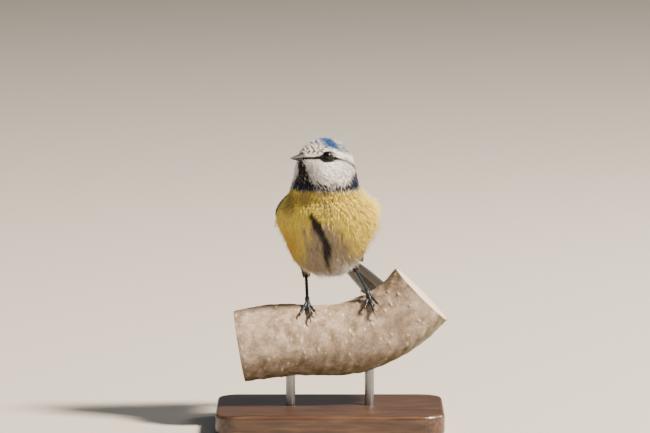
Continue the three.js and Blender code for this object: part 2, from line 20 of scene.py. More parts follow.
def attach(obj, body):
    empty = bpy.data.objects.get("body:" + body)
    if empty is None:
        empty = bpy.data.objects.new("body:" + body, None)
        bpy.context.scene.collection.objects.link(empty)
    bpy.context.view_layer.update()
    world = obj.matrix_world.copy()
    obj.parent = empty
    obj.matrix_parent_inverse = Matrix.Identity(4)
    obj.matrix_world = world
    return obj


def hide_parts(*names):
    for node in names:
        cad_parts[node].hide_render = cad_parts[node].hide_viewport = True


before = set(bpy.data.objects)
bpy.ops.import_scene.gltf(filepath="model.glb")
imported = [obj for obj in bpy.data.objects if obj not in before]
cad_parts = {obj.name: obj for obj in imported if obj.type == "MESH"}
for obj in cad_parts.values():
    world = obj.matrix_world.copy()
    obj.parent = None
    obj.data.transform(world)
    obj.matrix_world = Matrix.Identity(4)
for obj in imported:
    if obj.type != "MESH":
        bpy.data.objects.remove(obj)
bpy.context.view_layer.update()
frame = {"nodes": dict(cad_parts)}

LOG = logging.getLogger("blue_tit")
MM = 0.001
Array = np.ndarray
Point = tuple[float, float, float]


# Plain arithmetic


def mix(a, b, t):
    """The value a share t of the way from a to b."""
    return a + (b - a) * t


def smooth(low: float, high: float, x):
    """0 before low, 1 past high, and a soft step between; low may be the larger."""
    t = np.clip((np.asarray(x, float) - low) / (high - low), 0.0, 1.0)
    return t * t * (3.0 - 2.0 * t)


def unit(vectors: Array) -> Array:
    """The vectors at length 1."""
    return vectors / np.maximum(np.linalg.norm(vectors, axis=-1, keepdims=True), 1e-9)


def linear(hex_colour: str) -> Array:
    """A colour as linear light.

    Args:
        hex_colour: sRGB, as in "#7d8c5f".

    Returns:
        Red, green and blue from 0 to 1.
    """
    srgb = np.array([int(hex_colour[i : i + 2], 16) / 255.0 for i in (1, 3, 5)])
    return np.where(srgb <= 0.04045, srgb / 12.92, ((srgb + 0.055) / 1.055) ** 2.4)


def wobble(points: Array, size: float, seed: int) -> Array:
    """Smooth noise from -1 to 1.

    Args:
        points: Places in millimetres, one row each.
        size: How far apart its swells lie.
        seed: Which noise.

    Returns:
        One number for each point.
    """
    draw = np.random.default_rng(seed)
    total = np.zeros(len(points))
    waves = 7
    for _ in range(waves):
        way = unit(draw.normal(size=3)) * draw.uniform(0.7, 1.6) * 2 * math.pi / size
        total += np.sin(points @ way + draw.uniform(0, 2 * math.pi))
    return total / (waves**0.5 * 1.2)


def turned(axis: str, degrees: float) -> Array:
    """The 3 by 3 matrix that turns by the right-hand rule about X, Y or Z."""
    c, s = math.cos(math.radians(degrees)), math.sin(math.radians(degrees))
    rows = {
        "X": [[1, 0, 0], [0, c, -s], [0, s, c]],
        "Y": [[c, 0, s], [0, 1, 0], [-s, 0, c]],
        "Z": [[c, -s, 0], [s, c, 0], [0, 0, 1]],
    }
    return np.array(rows[axis], float)


@dataclass(frozen=True)
class Place:
    """A frame of its own: how it is turned, and where its origin lies in the frame that holds it."""

    turn: Array
    origin: Array

    def out(self, points: Array) -> Array:
        """Points in this frame, told in the frame that holds it."""
        return points @ self.turn.T + self.origin

    def into(self, points: Array) -> Array:
        """Points of the frame that holds it, told in this one."""
        return (points - self.origin) @ self.turn

    def inside(self, outer: "Place") -> "Place":
        """This frame, told from one frame further out."""
        return Place(outer.turn @ self.turn, outer.out(self.origin))


PERCH_TOP = 53.0
GAP = 0.3
BIRD = Place(turned("Z", -18.0), np.array([0.0, 0.0, PERCH_TOP]))
PERCH = Place(np.eye(3), np.array([0.0, 0.0, PERCH_TOP]))
HEAD_CENTRE = np.array([0.4, -8.6, 62.4])
HEAD = Place(turned("Z", -40.0) @ turned("X", -3.0), HEAD_CENTRE)
HEAD_IN_WORLD = HEAD.inside(BIRD)


# Building meshes


def object_from(name: str, bm: bmesh.types.BMesh, smooth_faces: bool = True) -> bpy.types.Object:
    """A new object at the origin that holds this bmesh, whose points are in millimetres.

    Args:
        name: The piece's name.
        bm: Its shape, freed here.
        smooth_faces: Whether its faces shade smoothly.

    Returns:
        The object, linked into the scene.
    """
    bmesh.ops.recalc_face_normals(bm, faces=bm.faces)
    bmesh.ops.scale(bm, vec=(MM, MM, MM), verts=bm.verts)
    mesh = bpy.data.meshes.new(name)
    bm.to_mesh(mesh)
    bm.free()
    mesh.shade_smooth() if smooth_faces else mesh.shade_flat()
    made = bpy.data.objects.new(name, mesh)
    bpy.context.scene.collection.objects.link(made)
    return made


def ball_rings(around: int, stations: Sequence[float]) -> tuple[bmesh.types.BMesh, Array, Array]:
    """A closed ball of rings between two poles, ready to be laid on another surface.

    Args:
        around: How many points each ring has.
        stations: A value for each ring, the two poles included.

    Returns:
        The ball, with each vertex's angle round it in radians and its ring's station.
    """
    bm = bmesh.new()
    bmesh.ops.create_uvsphere(bm, u_segments=around, v_segments=len(stations) - 1, radius=1.0)
    bm.verts.ensure_lookup_table()
    points = np.array([v.co for v in bm.verts])
    ring = np.rint((np.arcsin(np.clip(points[:, 2], -1, 1)) / math.pi + 0.5) * (len(stations) - 1)).astype(int)
    return bm, np.arctan2(points[:, 1], points[:, 0]), np.asarray(stations, float)[ring]


def lay(bm: bmesh.types.BMesh, points: Array) -> None:
    """Moves each vertex of a bmesh to its place."""
    for vertex, point in zip(bm.verts, points):
        vertex.co = Vector(point)


def wrapped(
    name: str, around: int, stations: Sequence[float], place: Callable[[Array, Array], Array]
) -> bpy.types.Object:
    """A closed piece made of rings, laid out by a function.

    Args:
        name: The piece's name.
        around: How many points each ring has.
        stations: A value for each ring, the two poles included.
        place: Turns angles and stations into points in millimetres.

    Returns:
        The new object.
    """
    bm, angles, values = ball_rings(around, stations)
    lay(bm, place(angles, values))
    return object_from(name, bm)


def tube_place(
    path: Array, radius: Callable[[Array, Array], Array], flatten: float = 1.0
) -> Callable[[Array, Array], Array]:
    """Lays rings square to a path, for `wrapped`.

    Args:
        path: Points along the middle, which station 0 to 1 runs over; outside that the ends close.
        radius: The radius at a share of the path and an angle round it.
        flatten: How high a section is for its width.

    Returns:
        The placing function.
    """
    steps = np.linspace(0, 1, len(path))
    ahead = unit(np.gradient(path, axis=0))

    def place(angles: Array, stations: Array) -> Array:
        share = np.clip(stations, 0, 1)
        middle = np.stack([np.interp(share, steps, path[:, k]) for k in range(3)], axis=1)
        way = unit(np.stack([np.interp(share, steps, ahead[:, k]) for k in range(3)], axis=1))
        steep = np.abs(way[:, 2:3]) > 0.9
        reference = np.where(steep, [[0.0, 1.0, 0.0]], [[0.0, 0.0, 1.0]])
        side = unit(np.cross(way, reference))
        up = np.cross(side, way)
        closed = np.sqrt(np.clip(1 - np.abs(stations - share) ** 2, 0, 1))
        size = (radius(share, angles) * closed)[:, None]
        beyond = (stations - share)[:, None] * radius(share, angles)[:, None] * 0.7
        across = side * np.cos(angles)[:, None] + up * flatten * np.sin(angles)[:, None]
        return middle + across * size + way * beyond

    return place


def with_ends(count: int, ends: int = 3) -> list[float]:
    """Stations 0 to 1 along a tube, with round ends past both."""
    round_end = [math.sin(math.pi / 2 * i / ends) for i in range(1, ends + 1)]
    return [-r for r in reversed(round_end)] + list(np.linspace(0, 1, count)) + [1 + r for r in round_end]


@dataclass(frozen=True)
class Template:
    """A small shape that is repeated by arrays: its corners and its triangles."""

    corners: Array
    triangles: Array

    @staticmethod
    def of(bm: bmesh.types.BMesh) -> "Template":
        """The template that a bmesh holds, which is freed."""
        bmesh.ops.triangulate(bm, faces=bm.faces)
        bmesh.ops.recalc_face_normals(bm, faces=bm.faces)
        bm.verts.ensure_lookup_table()
        bm.verts.index_update()
        corners = np.array([v.co for v in bm.verts])
        triangles = np.array([[v.index for v in f.verts] for f in bm.faces])
        bm.free()
        return Template(corners, triangles)


def barb_template() -> Template:
    """A barb: a flat three-sided spike along Z from 0 to 1, with a ring half way for its bend."""
    bm = bmesh.new()
    bmesh.ops.create_cone(bm, cap_ends=True, segments=3, radius1=0.577, radius2=0.0, depth=1.0)
    bmesh.ops.translate(bm, vec=(0, 0, 0.5), verts=bm.verts)
    bmesh.ops.bisect_plane(bm, geom=bm.verts[:] + bm.edges[:] + bm.faces[:], plane_co=(0, 0, 0.5), plane_no=(0, 0, 1))
    return Template.of(bm)


def vane_template(across: int, along: int) -> Template:
    """A feather's vane: a slab over X -1 to 1, Y 0 to 1 and Z 0 to 1, divided across and along."""
    bm = bmesh.new()
    bmesh.ops.create_cube(bm, size=1.0)
    for axis, cuts in ((0, across - 1), (1, along - 1)):
        edges = [e for e in bm.edges if abs(e.verts[0].co[axis] - e.verts[1].co[axis]) > 0.9]
        bmesh.ops.subdivide_edges(bm, edges=edges, cuts=cuts, use_grid_fill=True)
    for vertex in bm.verts:
        vertex.co = Vector((2 * vertex.co.x, vertex.co.y + 0.5, vertex.co.z + 0.5))
    return Template.of(bm)


def repeated(
    name: str, template: Template, points: Array, maps: dict[str, Array], values: dict[str, Array]
) -> bpy.types.Object:
    """One mesh of many copies of a template.

    Args:
        name: The piece's name.
        template: What is repeated.
        points: Copies by corners by 3, in millimetres.
        maps: UV maps by name, as copies by corners by 2.
        values: Point attributes by name, as copies by corners, with 3 more for a colour.

    Returns:
        The new object.
    """
    copies, corners = points.shape[:2]
    offsets = np.arange(copies)[:, None, None] * corners
    triangles = (template.triangles[None] + offsets).reshape(-1)
    mesh = bpy.data.meshes.new(name)
    mesh.vertices.add(copies * corners)
    mesh.vertices.foreach_set("co", (points * MM).astype(np.float32).ravel())
    mesh.loops.add(len(triangles))
    mesh.loops.foreach_set("vertex_index", triangles.astype(np.int32))
    mesh.polygons.add(len(triangles) // 3)
    mesh.polygons.foreach_set("loop_start", np.arange(0, len(triangles), 3, dtype=np.int32))
    for map_name, uv in maps.items():
        layer = mesh.uv_layers.new(name=map_name)
        layer.data.foreach_set("uv", uv.reshape(-1, 2)[triangles].astype(np.float32).ravel())
    set_values(mesh, values)
    mesh.update(calc_edges=True)
    mesh.shade_smooth()
    made = bpy.data.objects.new(name, mesh)
    bpy.context.scene.collection.objects.link(made)
    return made


def set_values(mesh: bpy.types.Mesh, values: dict[str, Array]) -> None:
    """Writes point attributes: numbers as FLOAT and triples as colours."""
    for name, value in values.items():
        if value.shape[-1] == 3:
            rgba = np.concatenate([value.reshape(-1, 3), np.ones((value.size // 3, 1))], axis=1)
            made = mesh.attributes.new(name, "FLOAT_COLOR", "POINT")
            made.data.foreach_set("color", rgba.astype(np.float32).ravel())
        else:
            made = mesh.attributes.new(name, "FLOAT", "POINT")
            made.data.foreach_set("value", value.astype(np.float32).ravel())


def points_of(piece: bpy.types.Object) -> Array:
    """A piece's vertices in millimetres."""
    flat = np.zeros(len(piece.data.vertices) * 3, np.float32)
    piece.data.vertices.foreach_get("co", flat)
    return flat.reshape(-1, 3).astype(float) / MM


def dress(
    piece: bpy.types.Object, material: bpy.types.Material, nodes: Sequence[str] = ()
) -> bpy.types.Object:
    """Gives a piece its material, its body and the nodes that it stands for."""
    piece.data.materials.append(material)
    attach(piece, "root")
    if nodes:
        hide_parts(*nodes)
    LOG.info("%s: %d faces", piece.name, len(piece.data.polygons))
    return piece


# Curves


class Curve:
    """A centripetal Catmull-Rom curve through a few points, read by the share of its length."""

    def __init__(self, points: Sequence[Point], samples: int = 400) -> None:
        """Samples the curve finely enough to be read by length."""
        knots = np.array(points, float)
        before = 2 * knots[0] - knots[1]
        after = 2 * knots[-1] - knots[-2]
        ext = np.vstack([before, knots, after])
        line = [self._piece(ext[i : i + 4], u) for i, u in self._steps(len(knots), samples)]
        self.line = np.array(line)
        steps = np.linalg.norm(np.diff(self.line, axis=0), axis=1)
        self.length = float(steps.sum())
        self.shares = np.concatenate([[0], np.cumsum(steps)]) / self.length

    @staticmethod
    def _steps(knots: int, samples: int) -> list[tuple[int, float]]:
        """Which stretch and how far along it, for each sample."""
        places = np.linspace(0, knots - 1, samples)
        return [(min(int(p), knots - 2), p - min(int(p), knots - 2)) for p in places]

    @staticmethod
    def _piece(four: Array, u: float) -> Array:
        """A point between the middle two of four knots."""
        gaps = np.maximum(np.linalg.norm(np.diff(four, axis=0), axis=1) ** 0.5, 1e-4)
        a, b, c = gaps
        x0, x1, x2, x3 = four
        t1 = ((x1 - x0) / a - (x2 - x0) / (a + b) + (x2 - x1) / b) * b
        t2 = ((x2 - x1) / b - (x3 - x1) / (b + c) + (x3 - x2) / c) * b
        return x1 + t1 * u + (-3 * x1 + 3 * x2 - 2 * t1 - t2) * u**2 + (2 * x1 - 2 * x2 + t1 + t2) * u**3

    def point(self, share) -> Array:
        """The points at these shares of the length."""
        share = np.atleast_1d(share)
        return np.stack([np.interp(share, self.shares, self.line[:, k]) for k in range(3)], axis=1)

    def tangent(self, share) -> Array:
        """The unit directions at these shares of the length."""
        step = 2e-3
        low = np.clip(np.atleast_1d(share) - step, 0, 1 - 2 * step)
        return unit(self.point(low + 2 * step) - self.point(low))


# The plumage's surface


@dataclass(frozen=True)
class Form:
    """One rounded form of the plumage."""

    centre: Point
    radii: Point
    tilt: float = 0.0
    on_head: bool = False

    def place(self) -> Place:
        """The form's own frame, told in the bird's."""
        own = Place(turned("X", self.tilt), np.array(self.centre))
        return own.inside(HEAD) if self.on_head else own


FORMS = (
    Form((0.2, -6.2, 38.4), (21.6, 14.8, 14.0)),  # breast
    Form((-0.9, -1.4, 28.6), (17.0, 15.2, 15.0)),  # belly
    Form((0, 2.4, 39.8), (17.4, 13.4, 12.0), -38),  # mantle
    Form((0, 12.6, 24.6), (8.8, 13.5, 7.4), -44),  # rump
    Form((0, -7.2, 50.4), (14.4, 11.8, 8.0)),  # neck
    Form((0, 0.4, 0.6), (11.0, 11.2, 9.5), 0, True),  # skull
    Form((7.0, -2.4, -5.0), (6.4, 6.8, 6.4), 0, True),  # left cheek
    Form((-7.0, -2.4, -5.0), (6.4, 6.8, 6.4), 0, True),  # right cheek
    Form((0, -7.2, 0.6), (3.8, 4.4, 3.6), 0, True),  # bill's root
    Form((0, -4.6, -7.0), (6.0, 5.6, 6.4), 0, True),  # throat
    Form((0, 5.2, -5.6), (9.6, 8.2, 8.6), 0, True),  # nape
)


class Field:
    """A surface told as a distance: below 0 inside it, above 0 outside."""

    def distance(self, points: Array) -> Array:
        """About how far each point lies outside the surface."""
        raise NotImplementedError

    def normal(self, points: Array) -> Array:
        """The unit direction straight out of the surface."""
        step = 0.05
        slopes = [self.distance(points + step * axis) - self.distance(points - step * axis) for axis in np.eye(3)]
        return unit(np.stack(slopes, axis=1))

    def settled(self, points: Array, level: Array, rounds: int = 2) -> Array:
        """The points moved straight in or out until they lie at their level."""
        for _ in range(rounds):
            gap = np.clip(level - self.distance(points), -3.0, 3.0)
            points = points + self.normal(points) * gap[:, None]
        return points

    def reach(self, origins: Array, ways: Array, level: float = 0.0) -> Array:
        """How far along each ray the surface is met, and 0 where the ray starts outside it.

        Args:
            origins: Where the rays start.
            ways: Their unit directions.
            level: How far outside the plumage the surface lies.

        Returns:
            The distances.
        """
        low = np.zeros(len(origins))
        inside = self.distance(origins) <= level
        open_rays = np.flatnonzero(inside)
        farthest = 60
        for _ in range(farthest):
            if not len(open_rays):
                break
            ahead = origins[open_rays] + ways[open_rays] * (low[open_rays] + 1)[:, None]
            still = self.distance(ahead) < level
            low[open_rays[still]] += 1
            open_rays = open_rays[still]
        high = low + inside
        for _ in range(12):
            middle = (low + high) / 2
            within = self.distance(origins + ways * middle[:, None]) < level
            low = np.where(within, middle, low)
            high = np.where(within, high, middle)
        return (low + high) / 2


class Plumage(Field):
    """The smooth union of the rounded forms, in the bird's frame."""

    blend = 1.7

    def __init__(self, forms: Sequence[Form]) -> None:
        """Keeps each form with its frame."""
        self.forms = [(form.place(), np.array(form.radii, float)) for form in forms]

    def distance(self, points: Array) -> Array:
        """About how far each point lies outside the surface."""
        total = np.zeros(len(points))
        for place, radii in self.forms:
            q = place.into(points) / radii
            near = np.linalg.norm(q, axis=1)
            far = np.maximum(np.linalg.norm(q / radii, axis=1), 1e-9)
            total += np.exp(-near * (near - 1) / far / self.blend)
        return -self.blend * np.log(np.maximum(total, 1e-30))


class Limb(Field):
    """A round limb that follows a line and changes its radius along it."""

    def __init__(self, line: Array, radius: Callable[[Array], Array]) -> None:
        """Keeps the line, in millimetres, and the radius by share of it."""
        self.line = line
        self.radius = radius

    def nearest(self, points: Array) -> tuple[Array, Array]:
        """The share of the line nearest each point, and the distance from it."""
        best = np.full(len(points), 1e9)
        share = np.zeros(len(points))
        count = len(self.line) - 1
        for i, (start, end) in enumerate(zip(self.line[:-1], self.line[1:])):
            way = end - start
            t = np.clip(((points - start) @ way) / (way @ way), 0, 1)
            far = np.linalg.norm(points - start - t[:, None] * way, axis=1)
            share = np.where(far < best, (i + t) / count, share)
            best = np.minimum(far, best)
        return share, best

    def distance(self, points: Array) -> Array:
        """How far each point lies outside the limb."""
        share, far = self.nearest(points)
        return far - self.radius(share)


PLUMAGE = Plumage(FORMS)
SPINE = Curve([(0.4, 20.6, 17.6), (0.2, 11, 25.5), (0, 1.5, 34), (0, -5.2, 44), (0.2, -7.6, 53), (0.4, -8.4, 61.5)])
BILL_BASE = HEAD.out(np.array([0.0, -11.0, 1.3]))


def surface_points(shares: Array, angles: Array, level: Array | float) -> Array:
    """Points of the plumage by their share of the spine and angle round it.

    Args:
        shares: 0 to 1 along the spine, down to -1 and up to 2 over the round ends.
        angles: From the back, round by the bird's left side, in radians.
        level: How far outside the plumage they lie.

    Returns:
        The points, in the bird's frame.
    """
    along = np.clip(shares, 0, 1)
    centre = SPINE.point(along)
    tangent = SPINE.tangent(along)
    side = unit(np.array([1.0, 0, 0]) - tangent * tangent[:, :1])
    back = np.cross(tangent, side)
    lean = ((shares - along) * math.pi / 2)[:, None]
    way = back * np.cos(angles)[:, None] + side * np.sin(angles)[:, None]
    way = way * np.cos(lean) + tangent * np.sin(lean)
    found = centre + way * PLUMAGE.reach(centre, way)[:, None]
    return PLUMAGE.settled(found, np.broadcast_to(np.asarray(level, float), (len(found),)))


def coat_depth(points: Array) -> Array:
    """How deep the skin lies under the plumage: least at the bill and on the face."""
    from_bill = np.linalg.norm(points - BILL_BASE, axis=1)
    return mix(0.35, 1.3, smooth(3, 24, from_bill))


# Colours of the plumage


@dataclass(frozen=True)
class Markings:
    """The bird's pattern, painted by place on the body and never from a picture; a few of its colours carry painted
    shade and painted sheen.
    """

    yellow: str = "#e6d05f"
    olive_yellow: str = "#a8965a"
    golden_and_painted_shade: str = "#b4882b"
    # The belly's real grey, darkened as painted shade of the underside.
    belly: str = "#a4957d"
    white: str = "#f6f5f4"
    black: str = "#131318"
    navy: str = "#1b2442"
    cap: str = "#1b437a"
    # Pale blue-grey for the cap's real pale rim and for painted sheen on the cap.
    cap_pale: str = "#a9b6c8"
    mottle: str = "#2b2d34"
    mantle: str = "#7f8a62"
    rump: str = "#98a35f"
    bib: str = "#17161a"
    cheek_grey: str = "#8f9196"

    def over(self, under: Array, mask: Array, colour: str) -> Array:
        """A colour laid over another where the mask is 1."""
        return mix(under, linear(colour)[None], np.clip(mask, 0, 1)[:, None])

    def body(self, p: Array) -> Array:
        """The body's colours at points in the bird's frame."""
        start = np.array([0, -7.6, 53.0])
        axis = unit(np.array([0, 0.62, -0.78]))
        back = np.array([0, axis[2] * -1, axis[1]])
        rel = p - start
        down = rel @ axis
        off = rel - down[:, None] * axis
        around = np.degrees(np.arctan2(np.abs(off[:, 0]), off @ back)) + 5 * wobble(p, 7, 3)
        colour = np.tile(linear(self.yellow), (len(p), 1))
        # Upper breast: a real olive tint, deepened into painted shadow of the head.
        colour = self.over(colour, 0.9 * smooth(-0.9, 0.7, wobble(p, 8, 4)) * smooth(32, 44, p[:, 2]) * smooth(12, 4, p[:, 0]), self.olive_yellow)
        # Lower flank on the bird's right: a real golden tint, darkened as painted shade of that side.
        colour = self.over(colour, 0.6 * smooth(-4, -14, p[:, 0]) * smooth(38, 28, p[:, 2]), self.golden_and_painted_shade)
        colour = self.over(colour, 1 - smooth(60, 78, around), self.mantle)
        colour = self.over(colour, (1 - smooth(50, 70, around)) * smooth(26, 32, down), self.rump)
        x, z = p[:, 0], p[:, 2]
        front = smooth(100, 125, around)
        edge = 2.3 * wobble(p, 4.5, 5) + 1.1 * wobble(p, 1.3, 7)
        heights = [10, 14, 19, 25, 29.5, 34, 36, 38]
        left = np.interp(z, heights, [-11, -10, -8.2, -6.5, -5, -3.8, -1, 3.5])
        right = np.interp(z, heights, [14, 14, 13.9, 13.3, 12, 8, 6, 0.5])
        grey = smooth(-3.2, 3.0, x - left + edge) * smooth(-3.2, 3.0, right - x + edge) * front * smooth(38.5, 34.5, z)
        # The grey belly patch, in a colour darkened as painted shade of the underside.
        colour = self.over(colour, grey, self.belly)
        vent = smooth(29, 33, down + edge) * smooth(95, 120, around)
        underside = 0.8 * smooth(20, 16, z + edge) * smooth(4, 9, x) * front
        colour = self.over(colour, np.maximum(vent, underside), self.white)
        heights = [16, 18.9, 22, 25, 28.6, 31.7, 34.9, 39.3, 41]
        middle = np.interp(z, heights, [3.0, 3.3, 3.6, 4.0, 4.1, 2.6, 1.1, -0.9, -1.6])
        half = np.interp(z, heights, [0.2, 0.9, 1.6, 1.9, 1.8, 1.8, 2.1, 1.6, 0.0])
        ragged = half + 0.5 * wobble(p * [1, 1, 0.4], 1.6, 6) - np.abs(x - middle)
        streak = 0.97 * smooth(-0.6, 0.6, ragged) * front * (half > 0.05)
        return self.over(colour, streak, self.black)

    def head(self, p: Array) -> tuple[Array, Array]:
        """The head's colours, and how far above the collar each point lies.

        Args:
            p: Points in the bird's frame.

        Returns:
            The colours, and the height over the collar's middle in millimetres.
        """
        h = HEAD.into(p)
        x, y, z = h.T
        around = np.degrees(np.arctan2(np.abs(x), -y))
        fine = wobble(p, 2.2, 11)
        colour = np.tile(linear(self.white), (len(p), 1))
        cap_edge = np.interp(around, [0, 30, 65, 114, 148, 180], [7.7, 7.3, 6.4, 4.4, 2.6, 1.6])
        cap = smooth(-0.5, 0.7, z - cap_edge + 0.45 * fine)
        rim = cap * (1 - smooth(0.2, 1.0, z - cap_edge))
        specks = wobble(p, 1.1, 12)
        colour = self.over(colour, cap, self.cap)
        # Pale on the cap's front and on its back on the bird's left: partly real pale feather bases, partly painted
        # sheen.
        wear_and_sheen = cap * np.maximum(smooth(0.2, 3.2, y) * smooth(0.2, 2.8, x), smooth(-2.6, -4.8, y) * smooth(12.2, 10.4, z))
        flecks = mix(0.6, 1.0, smooth(-0.6, 0.5, specks))
        colour = self.over(colour, np.maximum(rim, wear_and_sheen) * flecks, self.cap_pale)
        # White over parts of those patches: partly real white feather bases, partly painted glare.
        colour = self.over(colour, 0.75 * wear_and_sheen * smooth(0.2, 0.7, fine + 0.4 * specks), self.white)
        spots = wobble(p, 1.5, 15) + 0.5 * specks
        brow = smooth(-2.2, -4.6, y) * smooth(2.8, 4.2, z) * smooth(-0.25, 0.2, spots)
        colour = self.over(colour, 0.92 * brow, self.mottle)
        crown = smooth(-0.5, 2.5, y) * smooth(3.4, 5.0, z) * smooth(0.0, 2.5, x) * smooth(-0.05, 0.4, spots)
        colour = self.over(colour, 0.8 * crown, self.mottle)
        line = np.interp(around, [0, 10, 30, 50, 70, 114, 148, 180], [1.4, 1.4, 1.8, 2.3, 2.6, 0.8, -1.9, -4.2])
        half = np.interp(
            around, [0, 10, 30, 46, 57, 71, 80, 97, 114, 148, 180], [0.6, 0.7, 0.6, 0.9, 2.1, 2.1, 0.9, 0.45, 0.5, 0.8, 1.6]
        )
        strands = wobble(p * [1.7, 1.7, 0.4], 1.5, 16)
        colour = self.over(colour, 0.4 * smooth(0.2, 0.9, strands + 0.3 * fine) * smooth(2, 0, z), self.cheek_grey)
        stripe = smooth(-0.3, 0.3, half + 0.2 * specks - np.abs(z - line))
        colour = self.over(colour, stripe, self.black)
        wide = np.interp(z, [-12, -9.5, -5, -1.5, -0.2], [6.9, 6.3, 4.2, 2.5, 1.6])
        bib = smooth(-0.4, 0.4, wide + 1.5 * spots - np.abs(x)) * (z < 0.2) * (y < 0)
        bib = bib * (1 - 0.75 * smooth(0.55, 0.95, spots) * smooth(-3, -7, z))
        colour = self.over(colour, bib, self.bib)
        middle = np.interp(around, [0, 40, 100, 125, 150, 180], [-11.0, -11.0, -11.2, -9.4, -6.6, -5.6])
        half = np.interp(around, [0, 40, 80, 110, 130, 150, 180], [1.9, 1.8, 1.4, 1.5, 3.2, 3.4, 3.0])
        broken = mix(smooth(-0.5, 0.1, strands), 1, smooth(75, 100, around))
        band = smooth(-0.5, 0.5, half + 0.45 * fine + 1.3 * strands - np.abs(z - middle)) * broken
        colour = self.over(colour, band, self.navy)
        return colour, z - middle + half

    def colour(self, p: Array) -> Array:
        """The plumage's colour at points in the bird's frame."""
        head, over_collar = self.head(p)
        on_head = smooth(-0.4, 0.4, over_collar + 0.4 * wobble(p, 2.0, 13))[:, None]
        return mix(self.body(p), head, on_head)


MARKINGS = Markings()


# Materials


class Slot(Enum):
    """The record's material slots."""

    BREAST = "plumage_breast"
    COLLAR = "plumage_collar"
    HEAD = "plumage_head"
    WING = "plumage_wing"
    TAIL = "plumage_tail"
    THIGH = "plumage_thigh"
    LEG = "leg_skin"
    CLAW = "claw_horn"
    BILL = "bill_horn"
    EYE = "eye_cornea"
    BARK = "hazel_bark"
    WOOD = "stand_wood"
    STEEL = "rod_steel"


def add_node(tree: bpy.types.NodeTree, kind: str, settings: dict | None = None, **inputs) -> bpy.types.Node:
    """Adds a shader node.

    Args:
        tree: The material's tree.
        kind: The node's type name.
        settings: Properties of the node.
        inputs: Socket values or links, by the socket's name in small letters joined by underscores.

    Returns:
        The node.
    """
    made = tree.nodes.new(kind)
    for name, value in (settings or {}).items():
        setattr(made, name, value)
    sockets = {}
    for socket in made.inputs:
        if socket.enabled:
            sockets.setdefault(socket.name.lower().replace(" ", "_"), socket)
    for name, value in inputs.items():
        socket = sockets[name] if name in sockets else made.inputs[int(name.lstrip("i"))]
        if isinstance(value, bpy.types.NodeSocket):
            tree.links.new(value, socket)
        else:
            socket.default_value = value
    return made


def rgba(hex_colour: str) -> tuple[float, float, float, float]:
    """A hex colour for a shader socket."""
    return (*linear(hex_colour), 1.0)


@dataclass(frozen=True)
class Finish:
    """A material made of nodes, named for the real one."""

    name: str

    def start(self, **shader) -> tuple[bpy.types.Material, bpy.types.NodeTree, bpy.types.Node]:
        """A material with a principled shader wired to its output."""
        material = bpy.data.materials.new(self.name)
        material.use_nodes = True
        tree = material.node_tree
        tree.nodes.clear()
        surface = add_node(tree, "ShaderNodeBsdfPrincipled", **shader)
        add_node(tree, "ShaderNodeOutputMaterial", surface=surface.outputs[0])
        return material, tree, surface

    def make(self) -> bpy.types.Material:
        """Builds the material."""
        raise NotImplementedError


def object_place(tree: bpy.types.NodeTree) -> bpy.types.NodeSocket:
    """The object coordinates, in metres."""
    return add_node(tree, "ShaderNodeTexCoord").outputs["Object"]


def own_value(tree: bpy.types.NodeTree, name: str, colour: bool = False) -> bpy.types.NodeSocket:
    """A point attribute of the piece."""
    return add_node(tree, "ShaderNodeAttribute", {"attribute_name": name}).outputs["Color" if colour else "Fac"]


def shades(tree: bpy.types.NodeTree, driver: bpy.types.NodeSocket, stops: Sequence[tuple[float, str]]) -> bpy.types.NodeSocket:
    """A colour ramp over a value."""
    ramp = add_node(tree, "ShaderNodeValToRGB", fac=driver)
    elements = ramp.color_ramp.elements
    for place, colour in stops[1:-1]:
        elements.new(place).color = rgba(colour)
    for element, (place, colour) in zip((elements[0], elements[-1]), (stops[0], stops[-1])):
        element.position = place
        element.color = rgba(colour)
    return ramp.outputs["Color"]


@dataclass(frozen=True)
class Down(Finish):
    """Small body feathers: soft barbs that carry their own colour."""

    roughness: float = 0.62

    def make(self) -> bpy.types.Material:
        """Colour from the piece, slightly mottled as where barbs lie open."""
        material, tree, surface = self.start(
            roughness=self.roughness, sheen_weight=0.05, sheen_roughness=0.4, specular_ior_level=0.18
        )
        mottle = add_node(tree, "ShaderNodeTexNoise", vector=object_place(tree), scale=1600.0, detail=2.0)
        light = add_node(tree, "ShaderNodeMapRange", value=mottle.outputs["Fac"], to_min=0.86, to_max=1.12)
        own = own_value(tree, "colour", colour=True)
        toned = add_node(
            tree, "ShaderNodeMix", {"data_type": "RGBA", "blend_type": "MULTIPLY"}, i0=1.0, i6=own, i7=light.outputs[0]
        )
        tree.links.new(toned.outputs[2], surface.inputs["Base Color"])
        return material


